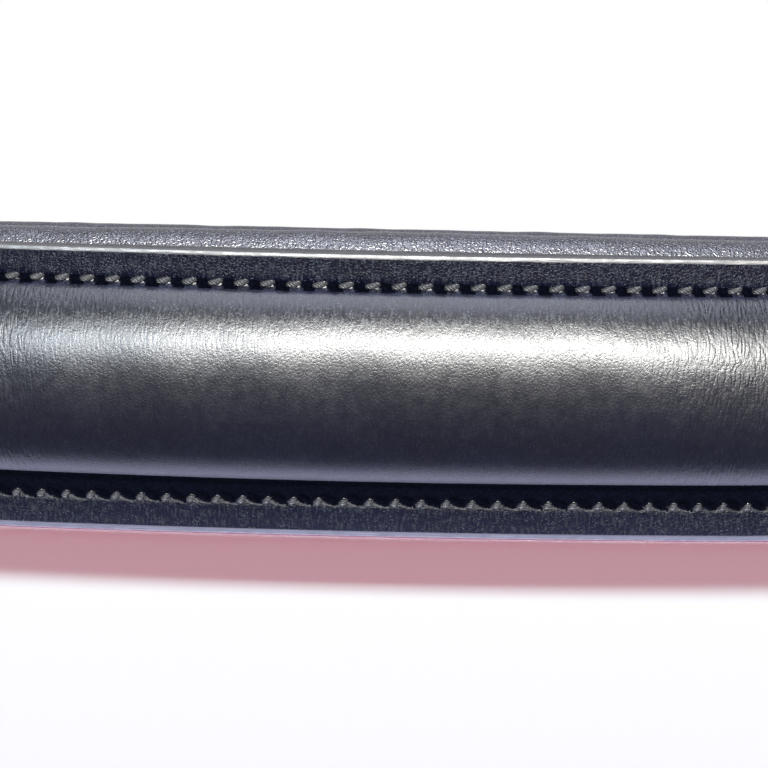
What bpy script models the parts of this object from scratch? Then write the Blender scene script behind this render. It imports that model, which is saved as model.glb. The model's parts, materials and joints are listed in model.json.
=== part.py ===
"""Raised, padded bridle noseband with a double-back chin strap, fastened and standing on its lower edge.

The loop lies in plan: X across, Y from the nose to the chin, Z up along the strap's width.
Every leather piece follows a course in plan. A place on a piece is given as s along its
course, n outward from the loop and w up the strap's width.
"""

import math

import bmesh
import bpy
from mathutils import Matrix, Vector

# Course of the nosepiece, from its middle to each ring's bar
FRONT_RADIUS = 0.320
FRONT_HALF = 0.048
CHEEK_RADIUS = 0.050
CHEEK_LENGTH = 0.062
SIDE_RADIUS = 0.400
SIDE_LENGTH = 0.041
FRONT_LEAN = math.radians(9)
LEAN_REACH = 0.100

# Course of the chin part, from its middle to each ring's bar
CHIN_HALF = 0.046
JAW_RADIUS = 0.0465
JAW_TURN = math.radians(85)
JAW_END = 0.008

# Leather of the nosepiece
NOSE_WIDTH = 0.032
NOSE_END_WIDTH = 0.021
BASE_THICKNESS = 0.0020
COVER_THICKNESS = 0.0013
RAISED_WIDTH = 0.0235
RAISED_RISE = 0.0050
DOME_ROUNDNESS = 2.2
DOME_FULLNESS = 0.6
RAISED_HALF_LENGTH = 0.098
COVER_MARGIN_END = 0.007
RAISED_FADE = 0.016
TAPER_START = 0.100
TAPER_LENGTH = 0.034
FILLER_ROOM = 0.0022

# Soft pads
PAD_BULGE = 0.0013
PAD_DEPTH = 0.0070
PAD_CROWN = 0.0010
LINING_THICKNESS = 0.0011
LINING_TURN_IN = 0.0035
FLOOR_FLAT = 0.0005
EDGE_LIFT = 0.00005
NOSE_PAD_HALF = 0.122
CHIN_PAD_HALF = 0.092
PAD_FADE = 0.018
PAD_END_SHARE = 0.55
BACKING_WIDTH = 0.030
BACKING_THICKNESS = 0.0015

# Crank strap, rings and buckle
CRANK_WIDTH = 0.019
CRANK_THICKNESS = 0.0025
CHAPE_THICKNESS = 0.0018
CHAPE_LENGTH = 0.0225
RING_PITCH = 0.0175
RING_WIRE = 0.00175
RING_CORNER = 0.0035
SIDE_ROOM = 0.00075
FOLD_REACH = 0.012
BUCKLE_PLACE = 0.022
BUCKLE_PITCH = 0.0165
BUCKLE_WIRE = 0.0013
BUCKLE_CORNER = 0.0025
BUCKLE_CHAPE_THICKNESS = 0.0014
BUCKLE_CHAPE_LENGTH = 0.024
ROLLER_WALL = 0.0006
TONGUE_WIRE = 0.0010
TONGUE_THIN_SHARE = 0.65
TONGUE_OVERHANG = 0.0025
TONGUE_HOLE_WIDTH = 0.0032
TONGUE_HOLE_START = 0.0012
TONGUE_HOLE_LENGTH = 0.0092
HOLE_PITCH = 0.015
HOLE_RADIUS = 0.0018
HOLE_COUNT = 6
BILLET_END = 0.050
BILLET_DROP = 0.012
POINT_LENGTH = 0.011

# Keepers and loops
KEEPER_WIDTH = 0.008
KEEPER_THICKNESS = 0.0012
KEEPER_CORNER = 0.0014
FIXED_KEEPER_PLACE = 0.007
LOOSE_KEEPER_PLACE = 0.025
PAD_LOOP_PLACE = 0.066
PAD_LOOP_WIDTH = 0.010

# Hangers
HANGER_PLACE = 0.1155
HANGER_WIDTH = 0.013
HANGER_THICKNESS = 0.0018
HANGER_FOOT = 0.005
HANGER_BAR_HEIGHT = 0.078
HANGER_FOLD_LENGTH = 0.028
HANGER_WIRE = 0.0012
HANGER_BUCKLE_PITCH = 0.0130
HANGER_CORNER = 0.0022
HANGER_KEEPER_WIDTH = 0.006
HANGER_KEEPER_DROP = 0.0095
HANGER_LOOSE_DROP = 0.0200
HANGER_BILLET_ROOM = 0.0024

# Fits and steps
GAP = 0.0003
STEP = 0.0085
FINE_STEP = 0.003
EDGE_BEVEL = 0.00035
MERGE = 0.00002

PAD_HEIGHT = NOSE_WIDTH + PAD_BULGE + PAD_BULGE
MID = PAD_HEIGHT / 2 - FLOOR_FLAT
BASE_MID = GAP + BASE_THICKNESS / 2
COVER_FACE = GAP + BASE_THICKNESS + GAP + COVER_THICKNESS
CRANK_TOP = CRANK_THICKNESS / 2
OUTER_MID = CRANK_THICKNESS + GAP
NOSE_COURSE = ((FRONT_RADIUS, FRONT_HALF), (CHEEK_RADIUS, CHEEK_LENGTH), (SIDE_RADIUS, SIDE_LENGTH))
CHIN_COURSE = ((None, CHIN_HALF), (JAW_RADIUS, JAW_RADIUS * JAW_TURN), (None, JAW_END))
NOSE_BAR = FRONT_HALF + CHEEK_LENGTH + SIDE_LENGTH
CHIN_BAR = CHIN_HALF + JAW_RADIUS * JAW_TURN + JAW_END


def smooth(share):
    """A smooth step from 0 to 1 as share goes from 0 to 1."""
    share = min(1.0, max(0.0, share))
    return share * share * (3 - 2 * share)


def along(course, distance):
    """The point and heading of a course of (radius, length) stretches, and straight on after its end."""
    x, y, heading = 0.0, 0.0, 0.0
    for radius, length in course + ((None, math.inf),):
        run = min(distance, length)
        if radius is None:
            x += run * math.cos(heading)
            y += run * math.sin(heading)
        else:
            turned = heading + run / radius
            x += radius * (math.sin(turned) - math.sin(heading))
            y += radius * (math.cos(heading) - math.cos(turned))
            heading = turned
        distance -= run
        if distance <= 0:
            break
    return x, y, heading


def ring_lean_and_depth():
    """The rings' heading from nosepiece to chin, and the Y place of the chin course's middle."""
    nose_x, nose_y, nose_heading = along(NOSE_COURSE, NOSE_BAR)
    nose_x += BASE_MID * math.sin(nose_heading)
    nose_y -= BASE_MID * math.cos(nose_heading)
    chin_x, chin_y, _ = along(CHIN_COURSE, CHIN_BAR)
    heading = math.acos((chin_x - nose_x) / RING_PITCH)
    return heading, nose_y + RING_PITCH * math.sin(heading) + chin_y


RING_HEADING, CHIN_DEPTH = ring_lean_and_depth()


class Course:
    """A strap's course in plan. It turns (s, n, w) into a place in the model."""

    def __init__(self, stretches, at_back):
        self.stretches = stretches
        self.at_back = at_back

    def lean(self, s):
        """How far the strap leans outward at its top, in radians."""
        if self.at_back:
            return 0.0
        return FRONT_LEAN * (1 - smooth(abs(s) / LEAN_REACH))

    def frame(self, s):
        """The point at n = w = 0, and the directions of n and w."""
        x, y, heading = along(self.stretches, abs(s))
        side = -1 if s < 0 else 1
        back = -1 if self.at_back else 1
        out = Vector((side * math.sin(heading), -back * math.cos(heading), 0))
        lean = self.lean(s)
        up = Vector((0, 0, math.cos(lean))) + out * math.sin(lean)
        out = out * math.cos(lean) - Vector((0, 0, math.sin(lean)))
        start = CHIN_DEPTH if self.at_back else 0.0
        edge_height = (MID - NOSE_WIDTH / 2) * math.cos(lean) - COVER_FACE * math.sin(lean)
        rise = max(-PAD_DEPTH / 2 * math.sin(lean), EDGE_LIFT - edge_height)
        return Vector((side * x, start + back * y, rise)), out, up

    def place(self, s, n, w):
        """The place at s along the course, n outward and w up."""
        start, out, up = self.frame(s)
        return start + out * n + up * w

    def matrix(self, s, n, w):
        """An object's matrix there: local X along the course, Y inward and Z up."""
        start, out, up = self.frame(s)
        turn = Matrix((up.cross(out), -out, up)).transposed().to_4x4()
        return Matrix.Translation(start + out * n + up * w) @ turn


NOSE = Course(NOSE_COURSE, False)
CHIN = Course(CHIN_COURSE, True)


def clear_scene():
    """Remove the objects that the scene starts with, and make the two collections."""
    for item in list(bpy.data.objects):
        bpy.data.objects.remove(item)
    made = []
    for name in ("bridle_noseband", "cutters"):
        group = bpy.data.collections.new(name)
        bpy.context.scene.collection.children.link(group)
        made.append(group)
    return made


PARTS, CUTTERS = clear_scene()


def finish(name, colour, roughness, metallic=0.0):
    """A Principled material."""
    made = bpy.data.materials.new(name)
    made.use_nodes = True
    shader = made.node_tree.nodes["Principled BSDF"]
    shader.inputs["Base Color"].default_value = (*colour, 1)
    shader.inputs["Roughness"].default_value = roughness
    shader.inputs["Metallic"].default_value = metallic
    made.diffuse_color = (*colour, 1)
    return made


GRAIN = finish("black_grain_leather", (0.020, 0.021, 0.030), 0.38)
EDGED = finish("black_strap_leather", (0.024, 0.025, 0.034), 0.50)
SOFT = finish("soft_lining_leather", (0.030, 0.031, 0.040), 0.55)
FOAM = finish("grey_foam", (0.30, 0.30, 0.31), 0.90)
FELT = finish("firm_filler", (0.25, 0.22, 0.18), 0.90)
STEEL = finish("polished_steel", (0.72, 0.72, 0.74), 0.18, 1.0)


def add(name, mesh, material, group=PARTS):
    """An object in a collection, shaded smooth between sharp edges."""
    mesh.materials.append(material)
    item = bpy.data.objects.new(name, mesh)
    group.objects.link(item)
    mesh.shade_smooth()
    mesh.set_sharp_from_angle(angle=math.radians(35))
    return item


def grid_mesh(name, rows, closed_rows=False, closed_across=False, caps=False):
    """A mesh that joins rows of points. It can close on itself either way, or take end caps."""
    shape = bmesh.new()
    grid = [[shape.verts.new(point) for point in row] for row in rows]
    across = len(grid[0]) - (0 if closed_across else 1)
    downward = len(grid) - (0 if closed_rows else 1)
    for i in range(downward):
        here, there = grid[i], grid[(i + 1) % len(grid)]
        for j in range(across):
            k = (j + 1) % len(here)
            shape.faces.new((here[j], there[j], there[k], here[k]))
    if caps:
        shape.faces.new(grid[0])
        shape.faces.new(reversed(grid[-1]))
        bmesh.ops.recalc_face_normals(shape, faces=shape.faces)
    mesh = bpy.data.meshes.new(name)
    shape.to_mesh(mesh)
    shape.free()
    return mesh


def solid_loft(name, rows, material):
    """A closed solid through closed sections."""
    return add(name, grid_mesh(name, rows, closed_across=True, caps=True), material)


def sheet(name, rows, thickness, material, offset=0.0, bevel=0.0, closed_rows=False):
    """An open surface given a thickness. Offset 0 keeps the surface in the middle of the wall."""
    item = add(name, grid_mesh(name, rows, closed_rows=closed_rows), material)
    wall = item.modifiers.new("wall", "SOLIDIFY")
    wall.thickness = thickness
    wall.offset = offset
    wall.use_even_offset = True
    if bevel:
        edge = item.modifiers.new("edge", "BEVEL")
        edge.width = bevel
        edge.segments = 1
        edge.limit_method = "ANGLE"
        edge.angle_limit = math.radians(50)
    return item


def wire(name, points, radius, material, cyclic=False, shares=None):
    """A round wire through points. Shares of the radius can thin it from point to point."""
    line = bpy.data.curves.new(name, "CURVE")
    line.dimensions = "3D"
    line.bevel_depth = radius
    line.bevel_resolution = 2
    line.use_fill_caps = True
    run = line.splines.new("POLY")
    run.points.add(len(points[1:]))
    for i, point in enumerate(points):
        run.points[i].co = (*point, 1)
        run.points[i].radius = shares[i] if shares else 1.0
    run.use_cyclic_u = cyclic
    line.materials.append(material)
    item = bpy.data.objects.new(name, line)
    PARTS.objects.link(item)
    return item


def cutter_box(name, size, matrix):
    """A box cutter of the given size, set by a matrix."""
    shape = bmesh.new()
    bmesh.ops.create_cube(shape, size=1.0, matrix=Matrix.Diagonal((*size, 1)))
    return cutter(name, shape, matrix)


def cutter_pin(name, radius, length, matrix, sides=10):
    """A round cutter along the matrix's Y axis."""
    shape = bmesh.new()
    turn = Matrix.Rotation(math.pi / 2, 4, "X")
    bmesh.ops.create_cone(
        shape, cap_ends=True, segments=sides, radius1=radius, radius2=radius, depth=length, matrix=turn
    )
    return cutter(name, shape, matrix)


def cutter(name, shape, matrix):
    """A hidden cutter made from a bmesh."""
    mesh = bpy.data.meshes.new(name)
    shape.to_mesh(mesh)
    shape.free()
    item = bpy.data.objects.new(name, mesh)
    item.matrix_world = matrix
    item.hide_render = True
    item.display_type = "WIRE"
    CUTTERS.objects.link(item)
    return item


def cut(item, tool):
    """Cut a piece with a cutter."""
    step = item.modifiers.new(tool.name, "BOOLEAN")
    step.operation = "DIFFERENCE"
    step.solver = "EXACT"
    step.object = tool


def pivot(name, matrix, pieces):
    """Parent pieces to an empty that stands on their joint's axis."""
    empty = bpy.data.objects.new(name, None)
    empty.matrix_world = matrix
    empty.empty_display_size = CRANK_WIDTH
    PARTS.objects.link(empty)
    bpy.context.view_layer.update()
    for piece in pieces:
        piece.parent = empty
        piece.matrix_parent_inverse = empty.matrix_world.inverted()
    return empty


def stops(start, end, step=STEP):
    """The places from start to end: both ends and each multiple of step well between them."""
    low, high = min(start, end), max(start, end)
    inner = [k * step for k in range(math.ceil(low / step), math.floor(high / step) + 1)]
    inner = [s for s in inner if low + step / 3 < s < high - step / 3]
    places = [low, *inner, high]
    return places if start < end else places[::-1]


def nose_half_width(s):
    """Half the nosepiece strap's width at s."""
    taper = smooth((abs(s) - TAPER_START) / TAPER_LENGTH)
    return (NOSE_WIDTH + (NOSE_END_WIDTH - NOSE_WIDTH) * taper) / 2


def end_share(s, half_length, fade):
    """A round end: 1 along the piece, and down to 0 at its half length."""
    past = (abs(s) - (half_length - fade)) / fade
    return math.sqrt(max(0.0, 1 - past * past)) if past > 0 else 1.0


DOME_SHARES = (-1.0, -0.96, -0.86, -0.68, -0.40, 0.0, 0.40, 0.68, 0.86, 0.96, 1.0)


def dome(share):
    """The raised section's height, as a share of its rise, at a share of its half width."""
    return (1 - abs(share) ** DOME_ROUNDNESS) ** DOME_FULLNESS


def base_strap():
    """The flat strap behind the cover, from ring to ring."""
    end = NOSE_BAR - RING_WIRE - GAP - GAP
    rows = []
    for s in stops(-end, end):
        half = nose_half_width(s)
        rows.append([NOSE.place(s, BASE_MID, MID + side * half) for side in (-1, 1)])
    return sheet("nosepiece_base_strap", rows, BASE_THICKNESS, EDGED, bevel=EDGE_BEVEL)


def raised_cover():
    """The front leather: flat margins for the stitches and a dome between them."""
    end = RAISED_HALF_LENGTH + COVER_MARGIN_END
    places = stops(-end, end)
    tips = [end - COVER_MARGIN_END * share for share in (0.12, 0.45)]
    places = sorted([*places, *tips, *(-tip for tip in tips)])
    rows = []
    for s in places:
        rise = RAISED_RISE * end_share(s, RAISED_HALF_LENGTH, RAISED_FADE)
        edge = nose_half_width(s) * (0.55 + 0.45 * end_share(s, end, COVER_MARGIN_END))
        raised = min(RAISED_WIDTH / 2, edge - COVER_THICKNESS)
        row = [(COVER_FACE, -edge)]
        row += [(COVER_FACE + rise * dome(share), share * raised) for share in DOME_SHARES]
        row += [(COVER_FACE, edge)]
        rows.append([NOSE.place(s, n, MID + v) for n, v in row])
    return sheet("nosepiece_raised_cover", rows, COVER_THICKNESS, GRAIN, offset=-1.0)


def filler():
    """The firm filler between the base strap and the dome."""
    foot = GAP + BASE_THICKNESS + GAP
    half = RAISED_WIDTH / 2 - FILLER_ROOM
    end = RAISED_HALF_LENGTH - RAISED_FADE / 4
    rows = []
    for s in stops(-end, end):
        rise = RAISED_RISE * end_share(s, RAISED_HALF_LENGTH, RAISED_FADE) - GAP - GAP
        row = [(foot + rise * dome(share), share * half) for share in DOME_SHARES]
        row[0] = (foot, -half)
        row[-1] = (foot, half)
        rows.append([NOSE.place(s, n, MID + v) for n, v in row])
    return solid_loft("nosepiece_filler", rows, FELT)


def roll(face, half, depth, crown, inset, turn_in=None):
    """The (n, v) points of a pad's section: round top and bottom, and a crowned back.

    face is the front's n, inset draws the section in on all sides, and turn_in adds the
    lining's turned edges, without which the section is meant to be closed.
    """
    radius = depth / 2
    reach = radius - inset
    straight = half - radius

    def arc(degrees, side):
        """Points round the top or the bottom end."""
        angles = [math.radians(d) for d in degrees]
        return [
            (face - radius + reach * math.cos(a), side * (straight + reach * math.sin(a))) for a in angles
        ]

    points = arc((0, 45, 90, 135, 180), 1)
    for share in (0.6, 0.2, -0.2, -0.6):
        swell = crown * (1 - share * share)
        points.append((face - depth + inset - swell, share * straight))
    points += arc((180, 150, 120, 105, 90, 75, 60, 30, 0), -1)
    if turn_in:
        points = [(face, straight - turn_in), *points, (face, turn_in - straight)]
    return points


def pad_share(s, half_length):
    """How full the pad is at s: 1 along it, and drawn in at its ends."""
    return PAD_END_SHARE + (1 - PAD_END_SHARE) * end_share(s, half_length, PAD_FADE)


def on_floor(point, level):
    """The point, raised to a level where it lies lower."""
    return Vector((point.x, point.y, max(point.z, level)))


def pad(prefix, course, half_length, face, half_height):
    """A pad's soft lining and the foam inside it."""
    lining, foam = [], []
    way = -1 if course.at_back else 1
    places = stops(-way * half_length, way * half_length)
    wall = LINING_THICKNESS + GAP
    for s in places:
        full = pad_share(s, half_length)
        half, depth, crown = half_height(s), PAD_DEPTH * full, PAD_CROWN * full
        outer = roll(face, half, depth, crown, 0.0, LINING_TURN_IN)
        lining.append([on_floor(course.place(s, n, MID + v), 0.0) for n, v in outer])
        inner = roll(face, half, depth, crown, wall)
        foam.append([on_floor(course.place(s, n, MID + v), wall) for n, v in inner])
    return (
        sheet(f"{prefix}_pad_lining", lining, LINING_THICKNESS, SOFT, offset=-1.0),
        solid_loft(f"{prefix}_pad_foam", foam[1:-1], FOAM),
    )


def nose_pad_half(s):
    """Half the nosepiece pad's height, which stands proud of the strap."""
    return nose_half_width(s) + PAD_BULGE


def chin_pad_half(s):
    """Half the chin pad's height, drawn in a little at the ends."""
    return PAD_HEIGHT / 2 - PAD_DEPTH / 2 * (1 - pad_share(s, CHIN_PAD_HALF))


def fold(course, name, bar, tail, middle, core):
    """Leather folded round a ring's bar: two legs that lie on both faces of a strap of thickness core.

    bar and tail are places along the course, and middle is the strap's middle.
    """
    way = 1 if bar > tail else -1
    thickness = CHAPE_THICKNESS
    leg = core / 2 + GAP + thickness / 2
    bend = RING_WIRE + GAP + thickness / 2
    flare = bar - way * FOLD_REACH * 0.7
    outer = [(tail, leg), ((tail + flare) / 2, leg), (flare, leg)]
    points = [(s, middle + n) for s, n in outer]
    for k in range(9):
        angle = math.pi / 2 - math.pi * k / 8
        points.append((bar + way * bend * math.cos(angle), middle + bend * math.sin(angle)))
    points += [(s, middle - n) for s, n in outer[::-1]]
    rows = [[course.place(s, n, MID + side * CRANK_WIDTH / 2) for side in (-1, 1)] for s, n in points]
    return sheet(name, rows, thickness, EDGED, bevel=EDGE_BEVEL)


def rounded(low, high, half, corner, turns=3):
    """A rounded rectangle's (a, b) points, from low to high in a and half either way in b."""
    centres = (
        (high - corner, half - corner),
        (low + corner, half - corner),
        (low + corner, corner - half),
        (high - corner, corner - half),
    )
    points = []
    for quarter, (a, b) in enumerate(centres):
        for k in range(turns + 1):
            angle = math.pi / 2 * (quarter + k / turns)
            points.append((a + corner * math.cos(angle), b + corner * math.sin(angle)))
    return points


def ring(side_name, side):
    """A metal loop between the nosepiece and the chin part, and the pivot that carries it."""
    half = CRANK_WIDTH / 2 + SIDE_ROOM + RING_WIRE
    start = NOSE.place(side * NOSE_BAR, BASE_MID, MID)
    ahead = Vector((side * math.cos(RING_HEADING), math.sin(RING_HEADING), 0))
    points = [start + ahead * a + Vector((0, 0, b)) for a, b in rounded(0, RING_PITCH, half, RING_CORNER)]
    item = wire(f"{side_name}_ring", points, RING_WIRE, STEEL, cyclic=True)
    return pivot(f"{side_name}_ring_axis", Matrix.Translation(start), [item])


def level(s, table):
    """n at s, read from a table of (s, n) in order of falling s, with smooth steps between."""
    for (s_a, n_a), (s_b, n_b) in zip(table, table[1:]):
        if s_b <= s <= s_a:
            return n_a + (n_b - n_a) * smooth((s_a - s) / (s_a - s_b))
    return table[0][1] if s > table[0][0] else table[-1][1]


ROLLER_RADIUS = BUCKLE_WIRE + GAP + ROLLER_WALL
ROLLER_PLACE = BUCKLE_PLACE + BUCKLE_PITCH
BAR_HEIGHT = CRANK_TOP + GAP + BUCKLE_CHAPE_THICKNESS + GAP + BUCKLE_WIRE
ROLLER_HEIGHT = OUTER_MID + CRANK_TOP + GAP + ROLLER_RADIUS
CHAPE_TOP = CRANK_TOP + GAP + BUCKLE_CHAPE_THICKNESS + GAP + BUCKLE_CHAPE_THICKNESS
BILLET_OVER_BAR = BAR_HEIGHT + BUCKLE_WIRE + GAP + BUCKLE_CHAPE_THICKNESS + GAP + CRANK_TOP
BILLET_OVER_CHAPE = CHAPE_TOP + GAP + CRANK_TOP
CHAPE_END = BUCKLE_PLACE - BUCKLE_CHAPE_LENGTH
BILLET_TABLE = (
    (CHIN_BAR, RING_WIRE + GAP + CRANK_TOP),
    (CHIN_BAR - FOLD_REACH, OUTER_MID),
    (ROLLER_PLACE, OUTER_MID),
    (BUCKLE_PLACE, BILLET_OVER_BAR),
    (BUCKLE_PLACE - FOLD_REACH * 0.8, BILLET_OVER_CHAPE),
    (CHAPE_END - GAP, BILLET_OVER_CHAPE),
    (CHAPE_END - BILLET_DROP, OUTER_MID),
)


def crank_strap():
    """The long strap: behind the chin, round the right ring, and back through the buckle."""
    bend = RING_WIRE + GAP + CRANK_TOP
    start = -(CHIN_BAR - RING_WIRE - GAP - GAP)
    points = [(s, 0.0) for s in stops(start, CHIN_BAR - FOLD_REACH)]
    for k in (1, 2, 3):
        share = k / 4
        points.append((CHIN_BAR - FOLD_REACH * (1 - share), -bend * smooth(share)))
    for k in range(9):
        angle = math.pi * k / 8 - math.pi / 2
        points.append((CHIN_BAR + bend * math.cos(angle), bend * math.sin(angle)))
    back = [CHIN_BAR - FOLD_REACH * k / 4 for k in (1, 2, 3)]
    back += stops(CHIN_BAR - FOLD_REACH, ROLLER_PLACE + FINE_STEP)
    back += stops(ROLLER_PLACE, -(BILLET_END - POINT_LENGTH), FINE_STEP)
    points += [(s, level(s, BILLET_TABLE)) for s in back]
    halves = [CRANK_WIDTH / 2] * len(points)
    for share in (0.35, 0.65, 0.85, 1.0):
        points.append((-(BILLET_END - POINT_LENGTH) - POINT_LENGTH * share, OUTER_MID))
        halves.append(CRANK_WIDTH / 2 * math.sqrt(1.04 - share**2.4))
    rows = [[CHIN.place(s, n, MID + side * half) for side in (-1, 1)] for (s, n), half in zip(points, halves)]
    item = sheet("crank_strap", rows, CRANK_THICKNESS, EDGED, bevel=EDGE_BEVEL)
    depth = CRANK_THICKNESS + GAP
    first = BUCKLE_PLACE + TONGUE_HOLE_START + TONGUE_HOLE_LENGTH / 2
    for k in range(-2, HOLE_COUNT - 1):
        s = first + k * HOLE_PITCH
        if k == 0:
            continue
        tool = cutter_pin(f"strap_hole_{k + 2}", HOLE_RADIUS, depth, CHIN.matrix(s, level(s, BILLET_TABLE), MID))
        cut(item, tool)
    middle = (BILLET_OVER_BAR + CHAPE_TOP + CRANK_TOP) / 2
    size = (TONGUE_HOLE_LENGTH, BILLET_OVER_BAR - CRANK_TOP, TONGUE_HOLE_WIDTH)
    cut(item, cutter_box("tongue_hole", size, CHIN.matrix(first, middle, MID)))
    return item


def buckle_chape():
    """The leather that holds the crank buckle, with a slot for its tongue."""
    thickness = BUCKLE_CHAPE_THICKNESS
    bend = BUCKLE_WIRE + GAP + thickness / 2
    lower = CRANK_TOP + GAP + thickness / 2
    upper = lower + thickness + GAP
    flat = BUCKLE_PLACE - FOLD_REACH * 0.8
    points = [(CHAPE_END, lower), (flat, lower), (BUCKLE_PLACE, lower)]
    for k in range(1, 9):
        angle = math.pi * k / 8 - math.pi / 2
        points.append((BUCKLE_PLACE + bend * math.cos(angle), BAR_HEIGHT + bend * math.sin(angle)))
    table = ((BUCKLE_PLACE, BAR_HEIGHT + bend), (flat, upper))
    for share in (0.25, 0.5, 0.75, 1.0):
        s = BUCKLE_PLACE + (flat - BUCKLE_PLACE) * share
        points.append((s, level(s, table)))
    points.append((CHAPE_END, upper))
    rows = [[CHIN.place(s, n, MID + side * CRANK_WIDTH / 2) for side in (-1, 1)] for s, n in points]
    item = sheet("buckle_chape", rows, thickness, EDGED)
    through = bend + thickness + bend + GAP
    size = (through, through, TONGUE_HOLE_WIDTH)
    cut(item, cutter_box("tongue_slot", size, CHIN.matrix(BUCKLE_PLACE, BAR_HEIGHT, MID)))
    return item


def frame_points(course, place, height, end_place, end_height, half, corner):
    """A buckle frame's points, on a slope from its hinge bar to its far bar."""
    pitch = end_place - place
    points = []
    for a, b in rounded(0, pitch, half, corner):
        points.append(course.place(place + a, height + (end_height - height) * a / pitch, MID + b))
    return points


def tongue_points(bend, bar, rest, pitch):
    """A tongue in (along, out) from its bar: wrapped round the bar, then straight to rest on the far bar."""
    points = []
    for k in range(9):
        angle = math.radians(-50 - 260 * k / 8)
        points.append((bend * math.cos(angle), bend * math.sin(angle)))
    lead = points[-1]
    for share in (0.3, 0.65, 1.0):
        points.append((lead[0] + (pitch - lead[0]) * share, lead[1] + (rest - lead[1]) * share))
    points.append((pitch + TONGUE_OVERHANG, rest))
    return [(a, bar + b) for a, b in points]


TONGUE_SHARES = [TONGUE_THIN_SHARE] * 9 + [1.0, 1.0, 1.0, 0.6]


def crank_buckle():
    """The buckle's frame, roller and tongue, with the frame and tongue on the hinge bar's axis."""
    half = CRANK_WIDTH / 2 + SIDE_ROOM + BUCKLE_WIRE
    points = frame_points(CHIN, BUCKLE_PLACE, BAR_HEIGHT, ROLLER_PLACE, ROLLER_HEIGHT, half, BUCKLE_CORNER)
    frame = wire("buckle_frame", points, BUCKLE_WIRE, STEEL, cyclic=True)
    roller = turned_tube("buckle_roller", BUCKLE_WIRE + GAP, ROLLER_RADIUS, CRANK_WIDTH - ROLLER_RADIUS)
    roller.matrix_world = CHIN.matrix(ROLLER_PLACE, ROLLER_HEIGHT, MID)
    bend = BUCKLE_WIRE + GAP + TONGUE_WIRE * TONGUE_THIN_SHARE
    rest = ROLLER_HEIGHT + ROLLER_RADIUS + GAP + TONGUE_WIRE - BAR_HEIGHT
    shape = tongue_points(bend, BAR_HEIGHT, rest, BUCKLE_PITCH)
    places = [CHIN.place(BUCKLE_PLACE + a, n, MID) for a, n in shape]
    tongue = wire("buckle_tongue", places, TONGUE_WIRE, STEEL, shares=TONGUE_SHARES)
    axis = CHIN.matrix(BUCKLE_PLACE, BAR_HEIGHT, MID)
    return pivot("buckle_bar_axis", axis, [frame, tongue, roller])


def turned_tube(name, inner, outer, length):
    """A short tube along Z, from a turned profile."""
    profile = [(outer, length / 2), (outer, -length / 2), (inner, -length / 2), (inner, length / 2)]
    mesh = bpy.data.meshes.new(name)
    edges = [(i, (i + 1) % 4) for i in range(4)]
    mesh.from_pydata([(r, 0, z) for r, z in profile], edges, [])
    item = add(name, mesh, STEEL)
    spin = item.modifiers.new("turn", "SCREW")
    spin.steps = spin.render_steps = 16
    spin.use_merge_vertices = True
    spin.merge_threshold = MERGE
    return item


def band(name, course, place, low, high, half, width):
    """A keeper: a leather band round a strap, from low to high in n and half either way in w."""
    wall = KEEPER_THICKNESS / 2
    shape = rounded(low - wall, high + wall, half + wall, KEEPER_CORNER)
    rows = []
    for n, v in shape:
        rows.append([course.place(place + side * width / 2, n, MID + v) for side in (-1, 1)])
    return sheet(name, rows, KEEPER_THICKNESS, EDGED, closed_rows=True)


def chin_keepers():
    """The fixed and loose keepers, and the two loops on the pad."""
    half = CRANK_WIDTH / 2 + GAP
    low = -CRANK_TOP - GAP
    tail_top = OUTER_MID + CRANK_TOP + GAP
    chape_top = BILLET_OVER_CHAPE + CRANK_TOP + GAP
    loose = band("crank_loose_keeper", CHIN, -LOOSE_KEEPER_PLACE, low, tail_top, half, KEEPER_WIDTH)
    return [
        band("crank_fixed_keeper", CHIN, FIXED_KEEPER_PLACE, low, chape_top, half, KEEPER_WIDTH),
        band("left_pad_loop", CHIN, -PAD_LOOP_PLACE, low, CRANK_TOP + GAP, half, PAD_LOOP_WIDTH),
        band("right_pad_loop", CHIN, PAD_LOOP_PLACE, low, tail_top, half, PAD_LOOP_WIDTH),
        pivot("loose_keeper_axis", CHIN.matrix(-LOOSE_KEEPER_PLACE, 0.0, MID), [loose]),
    ]


def chin_backing():
    """The flat leather on the outer face of the chin pad."""
    rows = []
    middle = BACKING_FACE - BACKING_THICKNESS / 2
    for s in stops(-CHIN_PAD_HALF, CHIN_PAD_HALF):
        half = BACKING_WIDTH / 2 * (0.6 + 0.4 * end_share(s, CHIN_PAD_HALF, PAD_FADE))
        rows.append([CHIN.place(s, middle, MID + side * half) for side in (-1, 1)])
    return sheet("chin_pad_backing", rows, BACKING_THICKNESS, EDGED, bevel=EDGE_BEVEL)


BACKING_FACE = -CRANK_TOP - GAP - KEEPER_THICKNESS - GAP
CHIN_PAD_FACE = BACKING_FACE - BACKING_THICKNESS - GAP


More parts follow.
